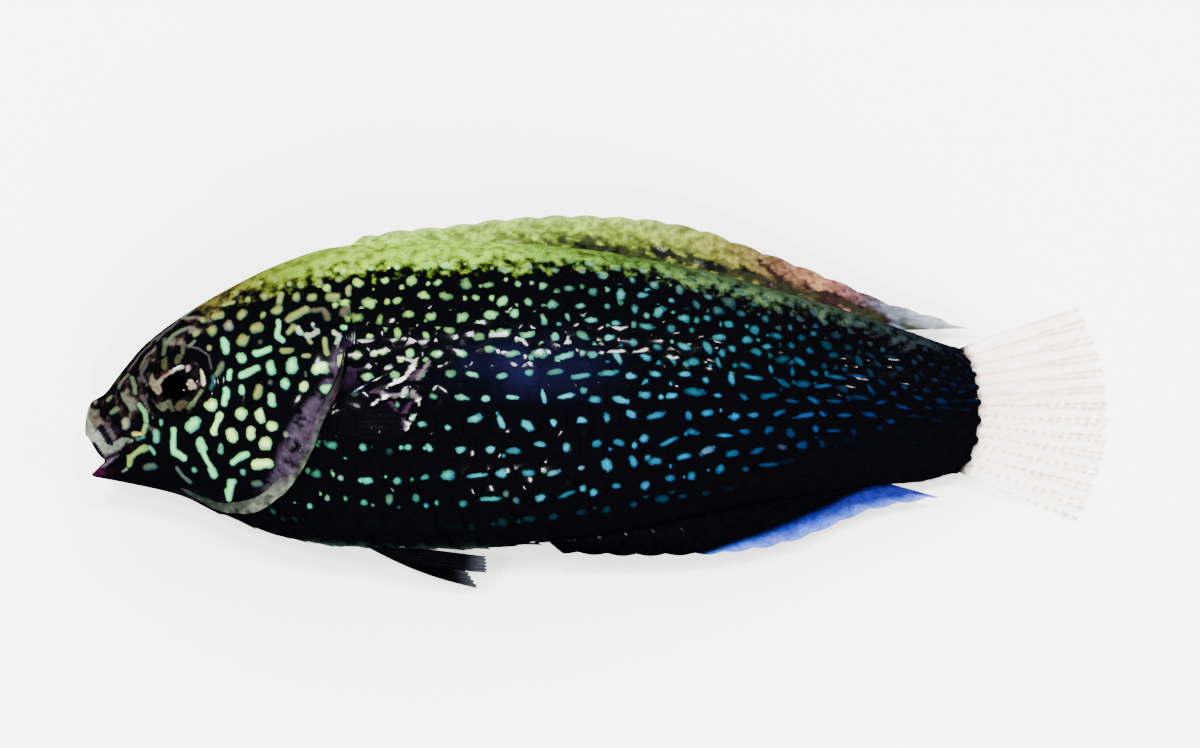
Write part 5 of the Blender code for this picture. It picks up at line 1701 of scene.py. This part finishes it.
# The white, blue and dim strokes are painted glints on the wet fin's creases; the purple ones are pigment.
WHITE_GLINT, DIM_GLINT, PURPLE_FOLD, BLUE_GLINT = "#b0b2aa", "#443e40", "#241420", "#283a50"
PECTORAL_GLINTS_AND_PIGMENT = (
    (BLUE_GLINT, 2.6, (356, 391), (366, 383)), (WHITE_GLINT, 2.2, (351, 389), (360, 386), (365, 380), (372, 378)),
    (WHITE_GLINT, 2.3, (374, 377), (381, 376), (386, 373)), (WHITE_GLINT, 2, (390, 384), (397, 382), (404, 379)),
    (WHITE_GLINT, 1.2, (405, 379), (408, 373), (411, 368)), (WHITE_GLINT, 2, (412, 367), (415, 362), (418, 357)),
    (DIM_GLINT, 2.6, (431, 361), (425, 369), (418, 377)), (PURPLE_FOLD, 3, (418, 372), (412, 380)),
    (PURPLE_FOLD, 2.6, (374, 391), (385, 394), (396, 396)), (DIM_GLINT, 2.4, (384, 394), (396, 396), (402, 393)),
    (WHITE_GLINT, 1.8, (403, 397), (404, 390)), (WHITE_GLINT, 2, (384, 399), (387, 396)),
    (WHITE_GLINT, 1.8, (371, 405), (377, 400)), (PURPLE_FOLD, 2.4, (390, 403), (396, 410)),
    (PURPLE_FOLD, 2.4, (404, 412), (410, 404)), (DIM_GLINT, 3.4, (413, 392), (418, 398)),
    (WHITE_GLINT, 1.7, (419, 400), (421, 407)), (WHITE_GLINT, 2.4, (411, 420), (421, 414)),
    (WHITE_GLINT, 2.6, (408, 424), (408, 431)), (BLUE_GLINT, 3, (415, 425), (418, 421)),
    (PURPLE_FOLD, 2.6, (402, 421), (404, 427)), (DIM_GLINT, 2, (405, 434), (406, 442)),
)
PECTORAL_HEIGHT = 8.1


def pectoral_film(u, v, ridge, points):
    """A clear film: only painted glints on the wet fin's creases and a little purple pigment by its rays show."""
    s, t = points[..., 0], points[..., 1]
    colour = all_over("#10081a", u)
    alpha = 0.01 + 0.02 * ridge
    s = s + 0.2 * (value_noise(s * 3.2, t * 3.2, 26) - 0.5)
    t = t + 0.2 * (value_noise(t * 3.2, s * 3.2, 36) - 0.5)
    rough = 1.2 * (value_noise(s * 4.5, t * 4.5, 28) - 0.5)
    for code, radius, *places in PECTORAL_GLINTS_AND_PIGMENT:
        away = line_distance(s, t, photo_line(places, PECTORAL_HEIGHT)) / (radius / PIXELS_PER_MM)
        cover = ease((1.15 - away - rough) / 0.5)
        shade = 0.55 + 0.8 * value_noise(s * 5, t * 5, 29)[..., None]
        colour = lay_over(colour, linear(code) * shade, cover)
        alpha = np.maximum(alpha, cover * 0.9)
    return rgba(colour, alpha)


PELVIC_RAYS, PELVIC_ROOT, PELVIC_SIDE, PELVIC_BOW = 6, (13.7, 15.1), 0.62, 0.3
# For each side: where the first and the last ray end, and how high these ends lie.
PELVIC_TIPS = {
    1: (((20.35, -8.3), (20.3, -7.45)), (3.1, 3.3)),
    -1: (((19.85, -9.25), (19.2, -8.2)), (1.0, 1.5)),
}


def pelvic_middle(side):
    (first, last), heights = PELVIC_TIPS[side]

    def middle(u, v):
        start = PELVIC_ROOT[0] + (PELVIC_ROOT[1] - PELVIC_ROOT[0]) * u
        root = belly_at(start) + 0.35
        tip_s = first[0] + (last[0] - first[0]) * u - scallop(u, PELVIC_RAYS, 0.12)
        s = start + (tip_s - start) * v
        bow = PELVIC_BOW * np.sin(math.pi * v) * (1 - u)
        t = root + (first[1] + (last[1] - first[1]) * u - root) * v - bow
        root_z = rest_height(start) + side * PELVIC_SIDE
        tip_z = heights[0] + (heights[1] - heights[0]) * u
        return np.stack([s, t, root_z + (tip_z - root_z) * v], axis=-1)

    return middle


def pelvic_film(u, v, ridge, points):
    colour = lay_over(all_over(BLACK, u), linear("#2a2c34"), ease((v - 0.8) / 0.2) * 0.6)
    return rgba(colour, 1.0 - 0.25 * ease((v - 0.8) / 0.2) * (1 - ridge))


pectorals, pelvics = [], []
for side_name, way in FLANKS:
    pectorals.append(make_fin("breast_fin_" + side_name, PECTORAL_RAYS, 30, pectoral_middle(way), pectoral_film,
            clear_film, 0.12))
    pelvics.append(make_fin("pelvic_web_" + side_name, PELVIC_RAYS, 34, pelvic_middle(way), pelvic_film,
            dark_film, 0.13))
print("faces of the pectoral fin:", len(pectorals[0].data.polygons))

# %% [markdown]
# # The eyes
# A fish's eye is a shallow dome of clear cornea over a flat, patterned iris, with a round lens that shows
# black. Here one dome carries the pattern under a hard clear coat: a black pupil, pale crescents either
# side of it, a painted highlight arc along its upper edge and blotches that run outwards, given as strokes
# as on the head.

# %% Domed eyes
PUPIL = ((-0.07, -0.05), (0.71, 0.62))
EYE_DARK, PUPIL_BLACK = "#020202", "#000000"
EYE_STROKES = (
    ("#433e2e", 4.2, (147, 378), (152, 384)), ("#4c4438", 3.8, (154, 387), (157, 390)),
    # The grey and white strokes along the pupil's upper edge, from (157, 383) to (182, 367), are a painted
    # highlight.
    ("#4c463a", 2.5, (157, 383), (162, 378), (168, 373)), ("#54584e", 1.7, (171, 372), (176, 369), (182, 367)),
    ("#b4b8b0", 0.8, (173, 369), (180, 366)), ("#564c48", 2, (187, 367), (187, 370)),
    ("#585244", 2.8, (190, 382), (190, 387), (194, 386)),
    ("#241428", 1.8, (199, 384)), ("#2e3024", 4.4, (158, 408), (165, 405)),
    ("#262a20", 3, (168, 403), (171, 408)),
    ("#28241a", 3.6, (178, 407), (183, 403)), ("#242a1c", 2.6, (188, 407), (193, 403)),
    ("#34402c", 1.6, (190, 405), (196, 399), (201, 391)), ("#8c8c64", 1.9, (203, 384), (203, 378), (202, 371)),
    ("#262818", 3, (161, 344), (160, 356), (163, 367)), ("#222418", 2.8, (181, 346), (179, 354), (176, 361)),
    ("#22182a", 2.4, (196, 363), (200, 360)), ("#1c1414", 1.5, (186, 347), (198, 349), (206, 358), (210, 368)),
    ("#1e1512", 2.4, (147, 366), (151, 359)), ("#1c0b08", 2, (161, 374), (166, 371)),
    ("#1c1a14", 2, (148, 400), (153, 404)),
)
EYE_HEIGHT = 6.9
EYE_RINGS, EYE_SEGMENTS = 72, 144


def eye_axes(side):
    """The eye's centre, its line of sight and the two directions across it, in fish millimetres."""
    s, t = EYE_CENTRE
    reach = EYE_REACH

    def height(a, b):
        return float(flank_point(np.array([s + a]), np.array([t + b]), side, 0.0, cover=0.0)[0, 2])

    slope_s = (height(reach, 0) - height(-reach, 0)) / (2 * reach)
    slope_t = (height(0, reach) - height(0, -reach)) / (2 * reach)
    look = Vector((-slope_s, -slope_t, 1.0)).normalized() * side
    tailward = Vector((1.0, 0.0, slope_s)).normalized()
    upward = look.cross(tailward)
    centre = Vector((s, t, height(0, 0))) + look * (EYE_PROUD - EYE_HALF_DEPTH)
    return np.array(centre), np.array(look), np.array(tailward), np.array(upward)


def eye_paint(x, y):
    """The iris at a place x towards the tail and y towards the back from the eye's middle."""
    out = np.hypot(x, y)
    rays = value_noise(np.arctan2(y, x) * 4.5 + 20, out * 1.6, 31)
    brown = ease((rays - 0.5) / 0.3) * ease((out - 0.8) / 0.3) * 0.7
    colour = lay_over(all_over(EYE_DARK, x), linear("#0c0908"), brown)
    for code, radius, *places in EYE_STROKES:
        line = [(s - EYE_CENTRE[0], t - EYE_CENTRE[1]) for s, t in photo_line(places, EYE_HEIGHT)]
        away = line_distance(x, y, line) / (radius / PIXELS_PER_MM)
        away = away + (value_noise(x * 7, y * 7, 33) - 0.5) * 0.8
        shade = 0.6 + 0.7 * value_noise(x * 8, y * 8, 34)[..., None]
        colour = lay_over(colour, linear(code) * shade, ease((1.2 - away) / 0.5))
    (px, py), (rx, ry) = PUPIL
    pupil = np.hypot((x - px) / rx, (y - py) / ry)
    return lay_over(colour, linear(PUPIL_BLACK), ease((1.03 - pupil) / 0.05))


def make_eye(name, side):
    centre, look, tailward, upward = eye_axes(side)
    turn, round_eye = np.meshgrid(np.linspace(0, math.pi, EYE_RINGS + 1)[1:-1],
            2 * math.pi * np.arange(EYE_SEGMENTS) / EYE_SEGMENTS, indexing="ij")
    radius = EYE_RADIUS * np.sin(turn)
    points = centre + (radius * np.cos(round_eye))[..., None] * tailward
    points = points + (radius * np.sin(round_eye))[..., None] * upward
    points = points + (EYE_HALF_DEPTH * np.cos(turn))[..., None] * look
    points = points.reshape(-1, 3)
    poles = np.array([centre + look * EYE_HALF_DEPTH, centre - look * EYE_HALF_DEPTH])
    total = len(points)
    quads = grid_quads(EYE_RINGS - 1, EYE_SEGMENTS, wrap=True)
    last = total - EYE_SEGMENTS
    caps = fan(0, EYE_SEGMENTS, total) + fan(last, EYE_SEGMENTS, total + 1, turned=True)
    points = np.concatenate([points, poles])
    made = make_piece(name, points, quads, caps, sharp=80)
    colour = eye_paint(points[:, 0] - EYE_CENTRE[0], points[:, 1] - EYE_CENTRE[1])
    store(made.data, "film", "FLOAT_COLOR", opaque(colour))
    return made


def cornea_finish():
    """Clear wet cornea over a dark iris: a mirror-smooth coat over the painted dome."""
    made, tree, shader = new_material("wet_cornea")
    film = add_node(tree, READ, attribute_name="film")
    tree.links.new(film.outputs["Color"], shader.inputs["Base Color"])
    shader.inputs["Roughness"].default_value = 0.35
    wet_coat(shader, 1.36, 0.0, 0.18, 0.03, FILM_IOR)
    return made


cornea = cornea_finish()
eyes = []
for side_name, way in FLANKS:
    eyes.append(make_eye("eyeball_" + side_name, way))
    eyes[-1].data.materials.append(cornea)
print("strokes on each eye:", len(EYE_STROKES))

# %% [markdown]
# # Floor
# A dark, wet flank mirrors everything round it. So the floor, the room and the soft boxes are left out of
# mirror images, which keeps the black deep.

# %% Floor
FLOOR_COLOUR = "#f4f3f1"
floor_mesh = bpy.data.meshes.new("pale_floor")
FLOOR_HALF = 0.6
floor_corners = [(x * FLOOR_HALF, y * FLOOR_HALF, 0) for x, y in ((-1, -1), (1, -1), (1, 1), (-1, 1))]
floor_mesh.from_pydata(floor_corners, [], [(0, 1, 2, 3)])
floor = bpy.data.objects.new("pale_floor", floor_mesh)
floor.location.z = -0.02 * MM
floor.visible_glossy = False
bpy.context.scene.collection.objects.link(floor)
paper, _, paper_shader = new_material("matt_paper")
paper_shader.inputs["Base Color"].default_value = (*linear(FLOOR_COLOUR), 1)
paper_shader.inputs["Roughness"].default_value = 0.75
floor_mesh.materials.append(paper)
print("floor at", round(floor.location.z / MM, 2), "mm")

# %% [markdown]
# # Light
# Four soft boxes low on all sides light the fish. Six small lamps overhead are there for their mirror
# images, the small bright glints on its scales. Each has a name, a place, a size and a power in watts.

# %% Soft boxes and lamps
SOFT_BOXES = (
    ("box_back", (0.0, 0.55, 0.32), (0.7, 0.35), 12.0), ("box_front", (0.0, -0.55, 0.32), (0.7, 0.35), 11.0),
    ("box_head", (-0.6, 0.1, 0.35), (0.5, 0.35), 8.0), ("box_tail", (0.6, 0.1, 0.35), (0.5, 0.35), 8.0),
)
LAMPS = (
    ("lamp_head", (-0.13, 0.13, 0.55), (0.022, 0.05), 2.6),
    ("lamp_cheek", (-0.2, 0.015, 0.55), (0.018, 0.024), 1.3),
    ("lamp_back", (-0.03, 0.2, 0.55), (0.028, 0.05), 4.4),
    ("lamp_middle", (0.15, 0.2, 0.55), (0.022, 0.045), 2.8),
    ("lamp_tail", (0.28, 0.2, 0.55), (0.014, 0.03), 0.8),
    ("lamp_belly", (0.02, -0.29, 0.5), (0.02, 0.04), 2.4),
)
LIT_PLACE = Vector((0, 0, 0.004))


def soft_box(name, place, size, power, mirrored):
    """A rectangular light that looks at the fish. The wet skin mirrors only the small ones."""
    data = bpy.data.lights.new(name, "AREA")
    data.shape = "RECTANGLE"
    data.size, data.size_y = size
    data.energy = power
    made = bpy.data.objects.new(name, data)
    made.visible_glossy = mirrored
    made.location = place
    made.rotation_euler = (LIT_PLACE - Vector(place)).to_track_quat("-Z", "Y").to_euler()
    bpy.context.scene.collection.objects.link(made)
    return made


for light in SOFT_BOXES:
    soft_box(*light, mirrored=False)
for light in LAMPS:
    soft_box(*light, mirrored=True)

world = bpy.data.worlds.new("soft_room")
world.use_nodes = True
world.node_tree.nodes["Background"].inputs["Color"].default_value = (*linear("#e8ecf2"), 1)
world.node_tree.nodes["Background"].inputs["Strength"].default_value = 0.15
world.cycles_visibility.glossy = False
bpy.context.scene.world = world
print("soft boxes:", len(SOFT_BOXES), "lamps:", len(LAMPS))

# %% [markdown]
# # Hand over the pieces
# Each piece rides on the one still body and hides the solids that it stands for. The table also lists the
# slot of the record that its finish belongs to.

# %% Ride and replace
FLESH = ("head", "lower_jaw", "gill_cover_left", "gill_cover_right", "trunk", "tail_stalk")
hand_over = [
    (skin_piece, "black_skin", FLESH), (coat_pieces[0], "black_skin", ()), (coat_pieces[1], "black_skin", ()),
    (gill_flaps[0], "lip_skin", ()), (gill_flaps[1], "lip_skin", ()),
    (dorsal, "olive_fin", ("dorsal_fin",)), (anal, "black_fin", ("anal_fin",)),
    (caudal, "clear_fin", ("caudal_fin",)),
    (pectorals[0], "clear_fin", ("pectoral_fin_left",)), (pectorals[1], "clear_fin", ("pectoral_fin_right",)),
    (pelvics[0], "black_fin", ("pelvic_fin_left",)), (pelvics[1], "black_fin", ("pelvic_fin_right",)),
    (eyes[0], "eye", ("eye_left",)), (eyes[1], "eye", ("eye_right",)),
]
for piece, slot, nodes in hand_over:
    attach(piece, "root")
    if nodes:
        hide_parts(*nodes)
    print(piece.name, "faces:", len(piece.data.polygons))
